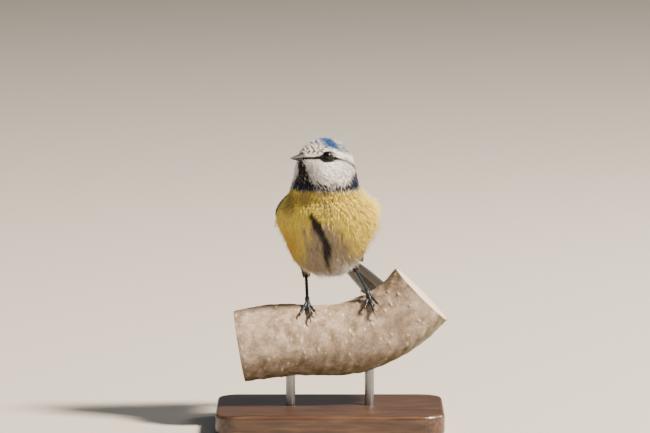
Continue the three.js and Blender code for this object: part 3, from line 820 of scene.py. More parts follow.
@dataclass(frozen=True)
class Vane(Finish):
    """Stiff vaned feathers: a shaft, and barbs that run out from it towards the tip."""

    def make(self) -> bpy.types.Material:
        """Barb lines from the feather's own map, over its own colour."""
        material, tree, surface = self.start(roughness=0.5, sheen_weight=0.1, specular_ior_level=0.35)
        across = own_value(tree, "across")
        along = own_value(tree, "along")
        away = add_node(tree, "ShaderNodeMath", {"operation": "ABSOLUTE"}, i0=across).outputs[0]
        slanted = add_node(tree, "ShaderNodeMath", {"operation": "SUBTRACT"}, i0=along, i1=away).outputs[0]
        many = add_node(tree, "ShaderNodeMath", {"operation": "MULTIPLY"}, i0=slanted, i1=16.0).outputs[0]
        line = add_node(tree, "ShaderNodeMath", {"operation": "SINE"}, i0=many).outputs[0]
        light = add_node(tree, "ShaderNodeMapRange", value=line, from_min=-1.0, to_min=0.82, to_max=1.1).outputs[0]
        own = own_value(tree, "colour", colour=True)
        toned = add_node(
            tree, "ShaderNodeMix", {"data_type": "RGBA", "blend_type": "MULTIPLY"}, i0=1.0, i6=own, i7=light
        ).outputs[2]
        shaft = add_node(tree, "ShaderNodeMapRange", value=away, from_min=0.1, from_max=0.22, to_min=0.8, to_max=0.0)
        dark = add_node(
            tree, "ShaderNodeMix", {"data_type": "RGBA"}, i0=shaft.outputs[0], i6=toned, i7=rgba("#20242c")
        ).outputs[2]
        tree.links.new(dark, surface.inputs["Base Color"])
        bump = add_node(tree, "ShaderNodeBump", strength=0.35, distance=0.0001, height=line)
        tree.links.new(bump.outputs[0], surface.inputs["Normal"])
        return material


@dataclass(frozen=True)
class Horn(Finish):
    """Horn or scaled skin: smooth, a little translucent, rubbed paler where it is thin."""

    dark: str
    pale: str
    roughness: float
    grain_mm: float = 0.5

    def make(self) -> bpy.types.Material:
        """Grown in layers, so a fine noise mixes the two tones and lifts the surface."""
        material, tree, surface = self.start(roughness=self.roughness, specular_ior_level=0.5)
        noise = add_node(
            tree, "ShaderNodeTexNoise", vector=object_place(tree), scale=1 / (self.grain_mm * MM), detail=3.0
        ).outputs["Fac"]
        own = own_value(tree, "tone")
        level = add_node(tree, "ShaderNodeMath", {"operation": "MULTIPLY_ADD"}, i0=noise, i1=0.5, i2=own).outputs[0]
        tree.links.new(
            shades(tree, level, [(0.15, self.dark), (1.1, self.pale)]), surface.inputs["Base Color"]
        )
        bump = add_node(tree, "ShaderNodeBump", strength=0.3, distance=0.00008, height=noise)
        tree.links.new(bump.outputs[0], surface.inputs["Normal"])
        return material


@dataclass(frozen=True)
class Eye(Finish):
    """A bird's eye: a dark brown iris round a black pupil, under a clear wet cornea."""

    def make(self) -> bpy.types.Material:
        """Iris by the angle from the middle of the eye, and a coat for the cornea."""
        material, tree, surface = self.start(
            roughness=0.4, specular_ior_level=0.1, coat_weight=0.8, coat_ior=1.34, coat_roughness=0.015
        )
        tree.links.new(
            shades(tree, own_value(tree, "tone"), [(0.0, "#010102"), (0.4, "#010102"), (0.44, "#0b0604"), (0.7, "#030202")]),
            surface.inputs["Base Color"],
        )
        return material


@dataclass(frozen=True)
class Bark(Finish):
    """Hazel bark: smooth and grey-brown, with fine lengthwise cracks, and lichen where it stays damp, widened into
    painted shade on its underside.
    """

    def make(self) -> bpy.types.Material:
        """Layers of noise in object space over the piece's own tone, which marks lenticels and sawn ends."""
        material, tree, surface = self.start(roughness=0.5, specular_ior_level=0.45)
        place = object_place(tree)
        broad = add_node(tree, "ShaderNodeTexNoise", vector=place, scale=150.0, detail=8.0, roughness=0.74).outputs["Fac"]
        banded = add_node(tree, "ShaderNodeMapping", vector=place, scale=(800.0, 800.0, 800.0)).outputs[0]
        fine = add_node(tree, "ShaderNodeTexNoise", vector=banded, scale=1.0, detail=5.0, roughness=0.6).outputs["Fac"]
        base = shades(tree, broad, [(0.3, "#5f4f40"), (0.46, "#867564"), (0.58, "#a09080"), (0.72, "#bcae9f")])
        speckle = add_node(tree, "ShaderNodeMapRange", value=fine, from_min=0.3, from_max=0.7, to_min=0.74, to_max=1.16)
        toned = add_node(
            tree, "ShaderNodeMix", {"data_type": "RGBA", "blend_type": "MULTIPLY"}, i0=1.0, i6=base, i7=speckle.outputs[0]
        ).outputs[2]
        # Dark olive laid by the piece's mask: real lichen, and painted shade on the underside.
        lichen = add_node(
            tree, "ShaderNodeMix", {"data_type": "RGBA"}, i0=own_value(tree, "lichen"), i6=toned, i7=rgba("#4f4a26")
        ).outputs[2]
        pored = add_node(
            tree, "ShaderNodeMix", {"data_type": "RGBA"}, i0=own_value(tree, "tone"), i6=lichen, i7=rgba("#d8c9b6")
        ).outputs[2]
        tree.links.new(pored, surface.inputs["Base Color"])
        bump = add_node(tree, "ShaderNodeBump", strength=0.3, distance=0.00015, height=fine)
        tree.links.new(bump.outputs[0], surface.inputs["Normal"])
        return material


@dataclass(frozen=True)
class StainedWood(Finish):
    """Dark stained beech under satin varnish, its grain lengthwise."""

    def make(self) -> bpy.types.Material:
        """Grain is noise stretched along the board."""
        material, tree, surface = self.start(roughness=0.38, coat_weight=0.25, coat_roughness=0.25)
        stretched = add_node(
            tree, "ShaderNodeMapping", vector=object_place(tree), scale=(60.0, 700.0, 700.0)
        ).outputs[0]
        grain = add_node(tree, "ShaderNodeTexNoise", vector=stretched, scale=1.0, detail=5.0).outputs["Fac"]
        tree.links.new(
            shades(tree, grain, [(0.3, "#2a1c14"), (0.55, "#432e21"), (0.75, "#5a4130")]), surface.inputs["Base Color"]
        )
        return material


@dataclass(frozen=True)
class Steel(Finish):
    """Drawn steel rod, brushed round."""

    def make(self) -> bpy.types.Material:
        """Fine bright lines round the rod."""
        material, tree, surface = self.start(metallic=1.0, base_color=rgba("#909294"))
        lines = add_node(tree, "ShaderNodeMapping", vector=object_place(tree), scale=(300.0, 300.0, 9000.0)).outputs[0]
        wear_and_sheen = add_node(tree, "ShaderNodeTexNoise", vector=lines, scale=1.0, detail=2.0).outputs["Fac"]
        rough = add_node(tree, "ShaderNodeMapRange", value=wear_and_sheen, to_min=0.22, to_max=0.42).outputs[0]
        tree.links.new(rough, surface.inputs["Roughness"])
        return material


@dataclass(frozen=True)
class Paper(Finish):
    """The studio's pale seamless paper."""

    def make(self) -> bpy.types.Material:
        """One flat pale colour, with the faint tooth of paper."""
        material, tree, surface = self.start(roughness=0.9, base_color=rgba("#b4b2ae"))
        tooth = add_node(tree, "ShaderNodeTexNoise", vector=object_place(tree), scale=900.0).outputs["Fac"]
        bump = add_node(tree, "ShaderNodeBump", strength=0.05, distance=0.0001, height=tooth)
        tree.links.new(bump.outputs[0], surface.inputs["Normal"])
        return material


# The bird


@dataclass
class EyePair:
    """Both eyes with their rings of lid, in the head's frame."""

    radius: float = 2.1
    towards: Point = (9.0, -4.3, 2.9)
    sunk: float = 1.25
    ring_radius: float = 2.06
    ring_thick: float = 0.14
    ring_lift: float = 0.8

    def way(self, side: int) -> Array:
        """The unit direction that an eye looks in."""
        return unit(np.array(self.towards) * [side, 1, 1])

    def centre(self, side: int) -> Array:
        """An eye's centre."""
        way = self.way(side)
        out = PLUMAGE.reach(HEAD_CENTRE[None], (HEAD.turn @ way)[None])[0]
        return way * (out - self.sunk)

    def build(self, eye: bpy.types.Material, lid: bpy.types.Material) -> None:
        """Makes and dresses the eyeballs and the lids."""
        for side, name in ((1, "left"), (-1, "right")):
            centre = self.centre(side)
            way = self.way(side)
            right = unit(np.cross([0, 0, 1.0], way))
            up = np.cross(way, right)
            frame_rows = np.stack([right, up, way])

            def ball(angles: Array, stations: Array) -> Array:
                polar = stations * math.pi
                local = np.stack([np.sin(polar) * np.cos(angles), np.sin(polar) * np.sin(angles), -np.cos(polar)], axis=1)
                return HEAD_IN_WORLD.out(centre + self.radius * local @ frame_rows)

            piece = wrapped(f"eye_{name}_ball", 64, np.linspace(0, 1, 49), ball)
            rel = unit(HEAD_IN_WORLD.into(points_of(piece)) - centre)
            set_values(piece.data, {"tone": np.arccos(np.clip(rel @ way, -1, 1)) / (math.pi / 2)})
            dress(piece, eye, [f"eye_{name}"])
            bm = bmesh.new()
            made = bmesh.ops.create_circle(bm, segments=14, radius=self.ring_thick)
            bmesh.ops.rotate(bm, verts=made["verts"], cent=(0, 0, 0), matrix=Matrix(turned("X", 90).tolist()))
            bmesh.ops.translate(bm, verts=made["verts"], vec=(self.ring_radius, 0, 0))
            bmesh.ops.spin(
                bm,
                geom=bm.verts[:] + bm.edges[:],
                cent=(0, 0, 0),
                axis=(0, 0, 1),
                angle=math.tau,
                steps=48,
                use_merge=True,
            )
            local = np.array([v.co for v in bm.verts]) * [1.06, 0.94, 1]
            lay(bm, HEAD_IN_WORLD.out(centre + way * self.ring_lift + local @ frame_rows))
            ring = object_from(f"eye_{name}_lids", bm)
            set_values(ring.data, {"tone": np.full(len(ring.data.vertices), 0.1)})
            dress(ring, lid, ["head"])


@dataclass
class Bill:
    """The short cone of the bill, closed, in two halves."""

    base_at: float = 9.8
    rise: float = 1.3
    length: float = 7.2

    def half(self, name: str, sizes: Point, length: float, bend: float, way: int) -> bpy.types.Object:
        """One half, whose sections are half ellipses that shrink and bend towards the tip.

        Args:
            name: The piece's name.
            sizes: Its depth, width and how far its culmen is ridged.
            length: How long it is.
            bend: How far its tip drops.
            way: 1 for the upper half, -1 for the lower.

        Returns:
            The piece.
        """
        depth, width, ridge = sizes

        def place(angles: Array, stations: Array) -> Array:
            t = np.clip(stations, 0, 1)
            closed = np.sqrt(np.clip(1 - (stations - t) ** 2, 0, 1)) * (stations > -0.999)
            size = (1 - 0.86 * t**1.25) * closed
            arch = np.clip(np.sin(angles), 0, 1) ** 0.85
            x = width / 2 * size * np.cos(angles) * (1 - ridge * arch)
            past = np.clip(stations - t, 0, 1) * 0.25
            y = -(self.base_at + GAP + length * t + past)
            z = self.rise + way * (GAP / 2 + depth * size * arch) - bend * t**2
            made = np.stack([x, y, z], axis=1)
            nostril = np.array([1.62, -(self.base_at + 2.6), self.rise + 1.3])
            near = np.linalg.norm(np.abs(made * [1, 0, 0]) + made * [0, 1, 1] - nostril, axis=1)
            made[:, 0] -= np.sign(x) * 0.4 * (1 - smooth(0.15, 0.5, near)) * (way > 0)
            return HEAD_IN_WORLD.out(made)

        return wrapped(name, 48, [-1.0] + list(np.linspace(0, 1, 50)) + [1.5, 1.87, 2.0], place)

    def bristles(self, down: bpy.types.Material, count: int = 240, seed: int = 61) -> None:
        """Short stiff feathers round the bill's base, which hide where it leaves the face."""
        draw = np.random.default_rng(seed)
        turn = draw.uniform(0, math.tau, count)
        above = np.sin(turn) > 0
        high = np.where(above, 2.3, 1.75) * np.sin(turn)
        ring = np.stack([2.1 * np.cos(turn), np.full(count, -self.base_at + 1.0), self.rise + high], axis=1)
        out = unit(ring * [1, 0, 1] - [0, 0, self.rise])
        reach = draw.uniform(1.3, 2.7, count) * np.where(above, 1.0, 0.8)
        ends = [ring + draw.normal(0, 0.15, ring.shape)]
        ends += [ring + [0, -0.5, 0] * reach[:, None] + out * (0.1 + 0.06 * reach[:, None])]
        ends += [ring + [0, -1.0, 0] * reach[:, None] + out * draw.uniform(-0.05, 0.3, count)[:, None]]
        middle = np.stack(ends, axis=1)
        template = barb_template()
        points = laid_barbs(template, middle, out, draw.uniform(0.1, 0.15, count))
        dark = smooth(0.75, -0.1, np.sin(turn) + draw.normal(0, 0.25, count))[:, None]
        colour = mix(linear("#c9c8c6")[None], linear("#15161a")[None], dark)
        shades_of = np.broadcast_to(colour[:, None], points.shape).copy()
        chart = np.broadcast_to(np.stack([turn / math.tau, draw.uniform(0, 1, count)], axis=1)[:, None], (*points.shape[:2], 2))
        points = HEAD_IN_WORLD.out(points.reshape(-1, 3)).reshape(points.shape)
        piece = repeated("coat_bristles", template, points, {"OFBake": chart * 0.99}, {"colour": shades_of})
        dress(piece, down, ["head"])

    def build(self, horn: bpy.types.Material) -> None:
        """Makes and dresses both halves."""
        for piece in (
            self.half("bill_upper_horn", (2.2, 3.9, 0.18), self.length, 0.35, 1),
            self.half("bill_lower_horn", (1.55, 3.5, 0.05), self.length - 0.6, 0.1, -1),
        ):
            local = HEAD_IN_WORLD.into(points_of(piece))
            out = (-local[:, 1] - self.base_at) / self.length
            edge = 1 - smooth(0.1, 0.55, np.abs(local[:, 2] - self.rise))
            set_values(piece.data, {"tone": 0.15 * smooth(0.5, 1.0, out) + 0.3 * edge})
            dress(piece, horn, [piece.name.rsplit("_", 1)[0]])


EYES = EyePair()
BILL = Bill()


def socketed(points: Array, room: float) -> Array:
    """Points of the bird's frame pushed back out of the eyes' sockets."""
    moved = points.copy()
    for side in (1, -1):
        centre = HEAD.out(EYES.centre(side))
        way = HEAD.turn @ EYES.way(side)
        rel = moved - centre
        ahead = rel @ way
        off = np.linalg.norm(rel - ahead[:, None] * way, axis=1)
        radius = EYES.radius + room
        floor = -np.sqrt(np.clip(radius**2 - off**2, 0, None))
        inside = (off < radius) & (ahead > floor) & (ahead > -radius)
        moved = moved + np.where(inside, floor - ahead, 0)[:, None] * way
    return moved


def parted(points: Array) -> Array:
    """Points of the bird's frame moved sideways off both eyes, so that feathers run round the lids."""
    moved = points
    for side in (1, -1):
        rel = moved - HEAD.out(EYES.centre(side))
        way = HEAD.turn @ EYES.way(side)
        ahead = rel @ way
        off = rel - ahead[:, None] * way
        far = np.linalg.norm(off, axis=1)
        push = np.clip(EYES.ring_radius + 0.12 - far, 0, None) * (ahead > 0)
        moved = moved + unit(off) * push[:, None]
    return moved


def laid_barbs(template: Template, middle: Array, up: Array, width: Array) -> Array:
    """The corners of barbs that follow three points each.

    Args:
        template: The barb.
        middle: Barbs by 3 by 3: each barb's root, middle and tip.
        up: The way its flat side faces.
        width: Its width at the root.

    Returns:
        Barbs by corners by 3.
    """
    corners = template.corners
    step = np.rint(corners[:, 2] * 2).astype(int)
    rest = [middle[:, 1] - middle[:, 0], middle[:, 2] - middle[:, 0], middle[:, 2] - middle[:, 1]]
    ahead = unit(np.stack(rest, axis=1))
    side = unit(np.cross(up[:, None], ahead))
    above = np.cross(ahead, side)
    full = np.where(step == 1, 1.7, 0.8)
    wide = width[:, None] * (full * corners[:, 0])[None]
    thick = width[:, None] * (full * corners[:, 1] * 0.4)[None]
    return middle[:, step] + side[:, step] * wide[:, :, None] + above[:, step] * thick[:, :, None]


@dataclass(frozen=True)
class Growth:
    """How small feathers grow, by their distance from the bill's base in millimetres."""

    at: tuple[float, ...] = (0, 5, 9, 14, 20, 28, 42, 75)
    length: tuple[float, ...] = (0.9, 1.3, 2.0, 2.8, 4.0, 6.0, 7.6, 8.4)
    half_width: tuple[float, ...] = (0.2, 0.28, 0.4, 0.58, 0.85, 1.2, 1.45, 1.55)
    apart: tuple[float, ...] = (0.34, 0.42, 0.52, 0.64, 0.78, 0.92, 1.02, 1.08)
    barbs: tuple[float, ...] = (5, 6, 7, 9, 13, 20, 26, 28)
    barb_width: tuple[float, ...] = (0.11, 0.125, 0.14, 0.155, 0.175, 0.2, 0.22, 0.23)

    def read(self, name: str, far: Array) -> Array:
        """One of the measures at these distances."""
        return np.interp(far, self.at, getattr(self, name))


@dataclass
class Roots:
    """Where feathers are rooted: points in the bird's frame, their place on the skin's map, and the way they lie."""

    points: Array
    chart: Array
    lie: Array

    def only(self, keep: Array) -> "Roots":
        """The roots that a mask keeps."""
        return Roots(self.points[keep], self.chart[keep], self.lie[keep])


def spaced(points: Array, apart: Array, seed: int) -> Array:
    """A mask of points that keeps no two closer than their spacing.

    Args:
        points: Candidates in random order.
        apart: The least distance at each.
        seed: For the order.

    Returns:
        True for those kept.
    """
    tree = KDTree(len(points))
    for i, point in enumerate(points):
        tree.insert(point, i)
    tree.balance()
    state = np.zeros(len(points), np.int8)
    for i in np.random.default_rng(seed).permutation(len(points)):
        if state[i]:
            continue
        for _, j, _ in tree.find_range(points[i], apart[i]):
            state[j] = 2
        state[i] = 1
    return state == 1


@dataclass
class Coat:
    """Small feathers over a surface: each is a fan of closed barbs that lies along the body."""

    growth: Growth
    surface: Field
    frame: Place
    colour: Callable[[Array], Array]
    depth: Callable[[Array], Array]
    lift: Callable[[Array], Array]
    stray: Callable[[Array], Array] = lambda points: np.full(len(points), 0.2)
    most: int = 19000
    template: Template = field(default_factory=barb_template)

    def feathers(self, roots: Roots, far: Array, seed: int) -> dict[str, Array]:
        """The barbs of every feather, before they are pulled onto the surface.

        Args:
            roots: Not used.
            far: Their distance from the bill's base.
            seed: For the jitter.

        Returns:
            By name: which feather each barb belongs to, and its shares across and along at its ends.
        """
        draw = np.random.default_rng(seed)
        counts = np.rint(self.growth.read("barbs", far)).astype(int)
        owner = np.repeat(np.arange(len(far)), counts)
        first = np.repeat(np.cumsum(counts) - counts, counts)
        q = ((np.arange(len(owner)) - first + 0.5) / counts[owner]) * 2 - 1
        q = q + draw.normal(0, 0.06, len(q))
        start = draw.uniform(0, 0.55, len(q)) * (1 - np.abs(q)) + draw.uniform(-0.05, 0.08, len(q))
        end = 1 - 0.32 * q**2 + draw.normal(0, 0.045, len(q))
        return {"owner": owner, "q": q, "start": np.clip(start, 0, 0.6), "end": end}

    def grow(self, name: str, roots: Roots, slot: Slot, material: bpy.types.Material, nodes: Sequence[str], seed: int) -> int:
        """Makes the feathers rooted at these points, as pieces of a bounded size.

        Args:
            name: The pieces' name, numbered from 1.
            roots: Where the feathers are.
            slot: Not used.
            material: Their material.
            nodes: The CAD nodes they stand for.
            seed: For every jitter.

        Returns:
            How many barbs were made.
        """
        far = np.linalg.norm(roots.points - BILL_BASE, axis=1)
        fan = self.feathers(roots, far, seed)
        draw = np.random.default_rng(seed + 1)
        owner = fan["owner"]
        normal = self.surface.normal(roots.points)
        lie = unit(roots.lie + draw.normal(0, 0.1, roots.lie.shape))
        lie = unit(lie - (lie * normal).sum(1, keepdims=True) * normal)
        side = np.cross(normal, lie)
        size = draw.normal(1, 0.09, len(far))
        length = self.growth.read("length", far) * size
        half = self.growth.read("half_width", far) * size
        depth = self.depth(roots.points)
        lift = self.lift(roots.points) * draw.uniform(0.35, 1.3, len(far))
        skew = draw.normal(0, 0.07, len(owner))
        stray = draw.uniform(0, 1, len(owner)) ** 7 * self.stray(roots.points)[owner]
        controls = []
        colours = []
        feather_tone = draw.normal(1, 0.045, len(far))[owner]
        barb_tone = draw.normal(1, 0.06, len(owner)) * feather_tone
        for t in (0.0, 0.5, 1.0):
            along = fan["start"] + (fan["end"] - fan["start"]) * t
            across = fan["q"] * t**0.8 + skew * t
            place = (
                roots.points[owner]
                + lie[owner] * (along * length[owner])[:, None]
                + side[owner] * (across * half[owner])[:, None]
            )
            high = mix(-depth[owner] - 0.15, lift[owner], np.clip(along, 0, 1) ** 0.75) + stray * t**2
            place = parted(self.surface.settled(parted(place), high))
            controls.append(place)
            shade = {0.0: 0.5, 0.5: 0.94, 1.0: 1.06}[t]
            colours.append(None if t == 0 else self.colour(place) * (barb_tone * shade)[:, None])
        colours[0] = colours[1] * 0.55 + linear("#5c5850") * 0.12
        self.write(name, roots, fan, controls, colours, far, slot, material, nodes)
        return len(owner)

    def write(self, name, roots, fan, controls, colours, far, slot, material, nodes) -> None:
        """Turns barbs into meshes of at most `most` barbs each."""
        corners = self.template.corners
        step = np.rint(corners[:, 2] * 2).astype(int)
        owner = fan["owner"]
        middle = np.stack(controls, axis=1)
        up = self.surface.normal(middle[:, 1])
        points = laid_barbs(self.template, middle, up, self.growth.read("barb_width", far)[owner])
        shade = np.clip(np.stack(colours, axis=1)[:, step], 0, 1)
        patch = np.stack([fan["q"][:, None] * (corners[:, 2] * 0.5)[None], corners[None, :, 2] * fan["end"][:, None]], axis=2)
        chart = roots.chart[owner][:, None] * 0.99 + 0.005 + 0.003 * (patch - [0.0, 0.5])
        parts = math.ceil(len(owner) / self.most)
        edges = np.searchsorted(owner, np.linspace(0, len(far), parts + 1).astype(int))
        for part, (low, high) in enumerate(zip(edges[:-1], edges[1:])):
            chunk = slice(low, high)
            made = repeated(
                f"{name}_{part + 1}",
                self.template,
                self.frame.out(points[chunk].reshape(-1, 3)).reshape(points[chunk].shape),
                {"OFBake": chart[chunk]},
                {"colour": shade[chunk]},
            )
            dress(made, material, nodes)


@dataclass
class Body:
    """The bird's skin and the small feathers over it."""

    around: int = 176
    rings: int = 230
    grid: tuple[int, int] = (150, 170)
    seed: int = 21

    def skin(self, material: bpy.types.Material) -> bpy.types.Object:
        """One skin for the head, the neck and the body, under the feathers."""

        def place(angles: Array, stations: Array) -> Array:
            found = surface_points(stations, angles, 0.0)
            found = PLUMAGE.settled(found, -coat_depth(found))
            return BIRD.out(socketed(found, 0.25))

        stations = np.linspace(-1, 2, self.rings)
        bm, angles, values = ball_rings(self.around, stations)
        lay(bm, place(angles, values))
        uv = bm.loops.layers.uv.new("OFBake")
        turns = angles / math.tau + 0.5
        bm.verts.index_update()
        for face in bm.faces:
            shares = [turns[v.index] for v in face.verts]
            wraps = max(shares) - min(shares) > 0.5
            for loop, share in zip(face.loops, shares):
                pole = abs(values[loop.vert.index] - 0.5) > 1.499
                u = np.median(shares) if pole else share + (1 if wraps and share < 0.5 else 0)
                loop[uv].uv = (0.005 + 0.99 * min(u, 1.0), 0.005 + 0.99 * (values[loop.vert.index] + 1) / 3)
        piece = object_from("bird_skin", bm)
        local = BIRD.into(points_of(piece))
        set_values(piece.data, {"colour": MARKINGS.colour(PLUMAGE.settled(local, np.zeros(len(local)))) * 0.55})
        return dress(piece, material, ["head", "neck", "torso"])

    def roots(self) -> Roots:
        """Roots spread over the whole skin, closest on the face."""
        rows, columns = self.grid
        stations = np.linspace(-0.97, 1.97, rows)
        turns = np.arange(columns + 1) / columns
        share, turn = (g.ravel() for g in np.meshgrid(stations, turns, indexing="ij"))
        found = surface_points(share, (turn - 0.5) * math.tau, 0.0).reshape(rows, columns + 1, 3)
        down = found[1:, :-1] - found[:-1, :-1]
        over = found[:-1, 1:] - found[:-1, :-1]
        area = np.linalg.norm(np.cross(down, over), axis=2)
        far = np.linalg.norm(found[:-1, :-1] - BILL_BASE, axis=2)
        weight = area / GROWTH.read("apart", far) ** 2
        draw = np.random.default_rng(self.seed)
        wanted = int(weight.sum() * 5)
        cell = draw.choice(weight.size, wanted, p=(weight / weight.sum()).ravel())
        i, j = np.divmod(cell, columns)
        u, v = draw.uniform(size=(2, wanted))
        corner = found[i, j]
        points = corner + u[:, None] * (found[i, j + 1] - corner) + v[:, None] * (found[i + 1, j] - corner)
        shares = stations[i] + v * (stations[1] - stations[0])
        chart = np.stack([(j + u) / columns, (shares + 1) / 3], axis=1)
        keep = spaced(points, GROWTH.read("apart", np.linalg.norm(points - BILL_BASE, axis=1)), self.seed)
        points, shares, chart = points[keep], shares[keep], chart[keep]
        return Roots(points, chart, self.lie(points, shares))

    def lie(self, points: Array, shares: Array) -> Array:
        """The way feathers lie: back from the bill over the face, and down the body to the tail."""
        back = -SPINE.tangent(np.clip(shares, 0, 1))
        from_bill = points - BILL_BASE
        near = 1 - smooth(11, 21, np.linalg.norm(from_bill, axis=1))
        way = mix(back, unit(from_bill), near[:, None])
        normal = PLUMAGE.normal(points)
        return unit(way - (way * normal).sum(1, keepdims=True) * normal)

    def lift(self, points: Array) -> Array:
        """How far feather tips stand out: more on the flanks and the vent, less on the face and under the wings."""
        far = np.linalg.norm(points - BILL_BASE, axis=1)
        loose = 0.45 * smooth(16, 36, far) + 0.5 * smooth(0.2, 1.0, wobble(points, 12, 8)) * smooth(20, 34, far)
        vent = 1.1 * (1 - smooth(17, 22, points[:, 2]))
        covered = np.maximum(Wing(1, "left").cover(points), Wing(-1, "right").cover(points))
        beside = np.maximum(Wing(1, "left").cover(points, 12), Wing(-1, "right").cover(points, 12))
        return mix(0.06, 0.16, smooth(4, 14, far)) + (loose + vent + 1.5 * beside) * (1 - covered)

    def stray(self, points: Array) -> Array:
        """How far single barbs stand out at most: furthest on the flanks and under the tail."""
        far = np.linalg.norm(points - BILL_BASE, axis=1)
        covered = np.maximum(Wing(1, "left").cover(points), Wing(-1, "right").cover(points))
        fluffed = smooth(9, 16, points[:, 0]) * smooth(26, 36, points[:, 2])
        return (0.1 + (1.6 + 2.6 * fluffed) * smooth(20, 36, far)) * (1 - covered)

    def clear(self, points: Array) -> Array:
        """A mask of roots that are neither in an eye's socket nor under the bill."""
        local = HEAD.into(points)
        open_skin = np.ones(len(points), bool)
        for side in (1, -1):
            rel = points - HEAD.out(EYES.centre(side))
            way = HEAD.turn @ EYES.way(side)
            off = np.linalg.norm(rel - (rel @ way)[:, None] * way, axis=1)
            open_skin &= (off > EYES.ring_radius + 0.25) | (rel @ way < 0)
        bill = (np.abs(local[:, 0]) < 1.75) & (np.abs(local[:, 2] - 1.5) < 1.7) & (local[:, 1] < -9.2)
        return open_skin & ~bill

    def regions(self, points: Array) -> Array:
        """Which part of the bird each root belongs to."""
        local = HEAD.into(points)
        side = np.where(points[:, 0] > 0, "left", "right")
        head_side = np.where(local[:, 0] > 0, "left", "right")
        _, over_collar = MARKINGS.head(points)
        height = np.select(
            [points[:, 2] < 26, points[:, 2] < 38], ["belly", "flank"], default="breast"
        )
        front = np.where(points[:, 1] * 0.6 + (points[:, 2] - 36) * 0.4 > 3.5, "back", "")
        body = np.where(front == "back", np.char.add("back_", side), np.char.add(np.char.add(height, "_"), side))
        head = np.where(local[:, 2] > 3.8, np.char.add("crown_", head_side), np.char.add("cheek_", head_side))
        return np.where(over_collar > 0, head, body)

    def build(self, down: bpy.types.Material) -> None:
        """Makes the skin and grows the feathers, region by region."""
        self.skin(down)
        roots = self.roots()
        roots = roots.only(self.clear(roots.points))
        coat = Coat(GROWTH, PLUMAGE, BIRD, MARKINGS.colour, coat_depth, self.lift, self.stray)
        regions = self.regions(roots.points)
        barbs = 0
        for i, region in enumerate(sorted(set(regions))):
            head = region.startswith(("crown", "cheek"))
            barbs += coat.grow(
                f"coat_{region}",
                roots.only(regions == region),
                Slot.HEAD if head else Slot.BREAST,
                down,
                ["head", "neck"] if head else ["torso", "neck"],
                self.seed + 10 * i,
            )
        LOG.info("%d small feathers of %d barbs", len(roots.points), barbs)


GROWTH = Growth()
WING_START = np.array([0, -4.3, 39.3])
WING_SLOPE = math.radians(34.5)
WING_ALONG = np.array([0, math.cos(WING_SLOPE), -math.sin(WING_SLOPE)])
WING_BACK = np.array([0, math.sin(WING_SLOPE), math.cos(WING_SLOPE)])


def feather_width(t: Array) -> Array:
    """A vane's half width along it, as a share of its widest: narrow root, full middle, round tip."""
    return mix(0.5, 1, smooth(0, 0.35, t)) * np.sqrt(np.clip(1 - np.clip((t - 0.62) / 0.4, 0, None) ** 2, 0, 1))


@dataclass(frozen=True)
class Row:
    """A row of wing feathers, from the innermost to the outermost.

    Roots and tips are places on the wing: millimetres along it and degrees round the body.
    """

    name: str
    count: int
    root: tuple[float, float, float, float]
    tip: tuple[float, float, float, float]
    width: float
    high: tuple[float, float]
    base: str
    edge: str
    end: str
    hook: float = 0.0


WING_ROWS = (
    Row("primaries", 9, (15, 76, 15, 87), (37, 62, 50, 66), 4.4, (0.25, 0.2), "#3c4654", "#9fb9d4", "#4a5560", 1.4),
    Row("secondaries", 6, (16, 54, 16, 74), (39.5, 52, 44.5, 67), 5.4, (0.4, 0.45), "#3c4a5c", "#6f9ac4", "#51606e"),
    Row("tertials", 3, (13, 30, 13, 42), (31, 34, 39, 47), 6.4, (0.6, 0.75), "#4f6f96", "#88a8c8", "#e6ebef"),
    Row("primary_coverts", 4, (8, 78, 8, 88), (25, 79, 22, 88), 3.6, (0.55, 0.6), "#38506f", "#4d79aa", "#44618a"),
    Row("greater_coverts", 9, (7, 34, 7, 78), (22.5, 34, 20, 78), 4.6, (0.65, 0.95), "#456e9e", "#5e8fc2", "#f0f2f4"),
    Row("median_coverts", 10, (1, 44, 1, 80), (14.5, 36, 12, 79), 4.4, (0.75, 1.12), "#4677ad", "#6597c9", "#5f90c4"),
    Row("lesser_coverts", 9, (-2, 48, -2, 82), (9, 42, 7.5, 81), 4.2, (0.7, 1.2), "#4a7ab2", "#6a9bce", "#5f92c8"),
    Row("marginal_coverts", 8, (-4, 54, -4, 86), (4, 48, 3, 85), 4.0, (0.5, 1.1), "#4c7db5", "#6d9ed0", "#6396cc"),
)


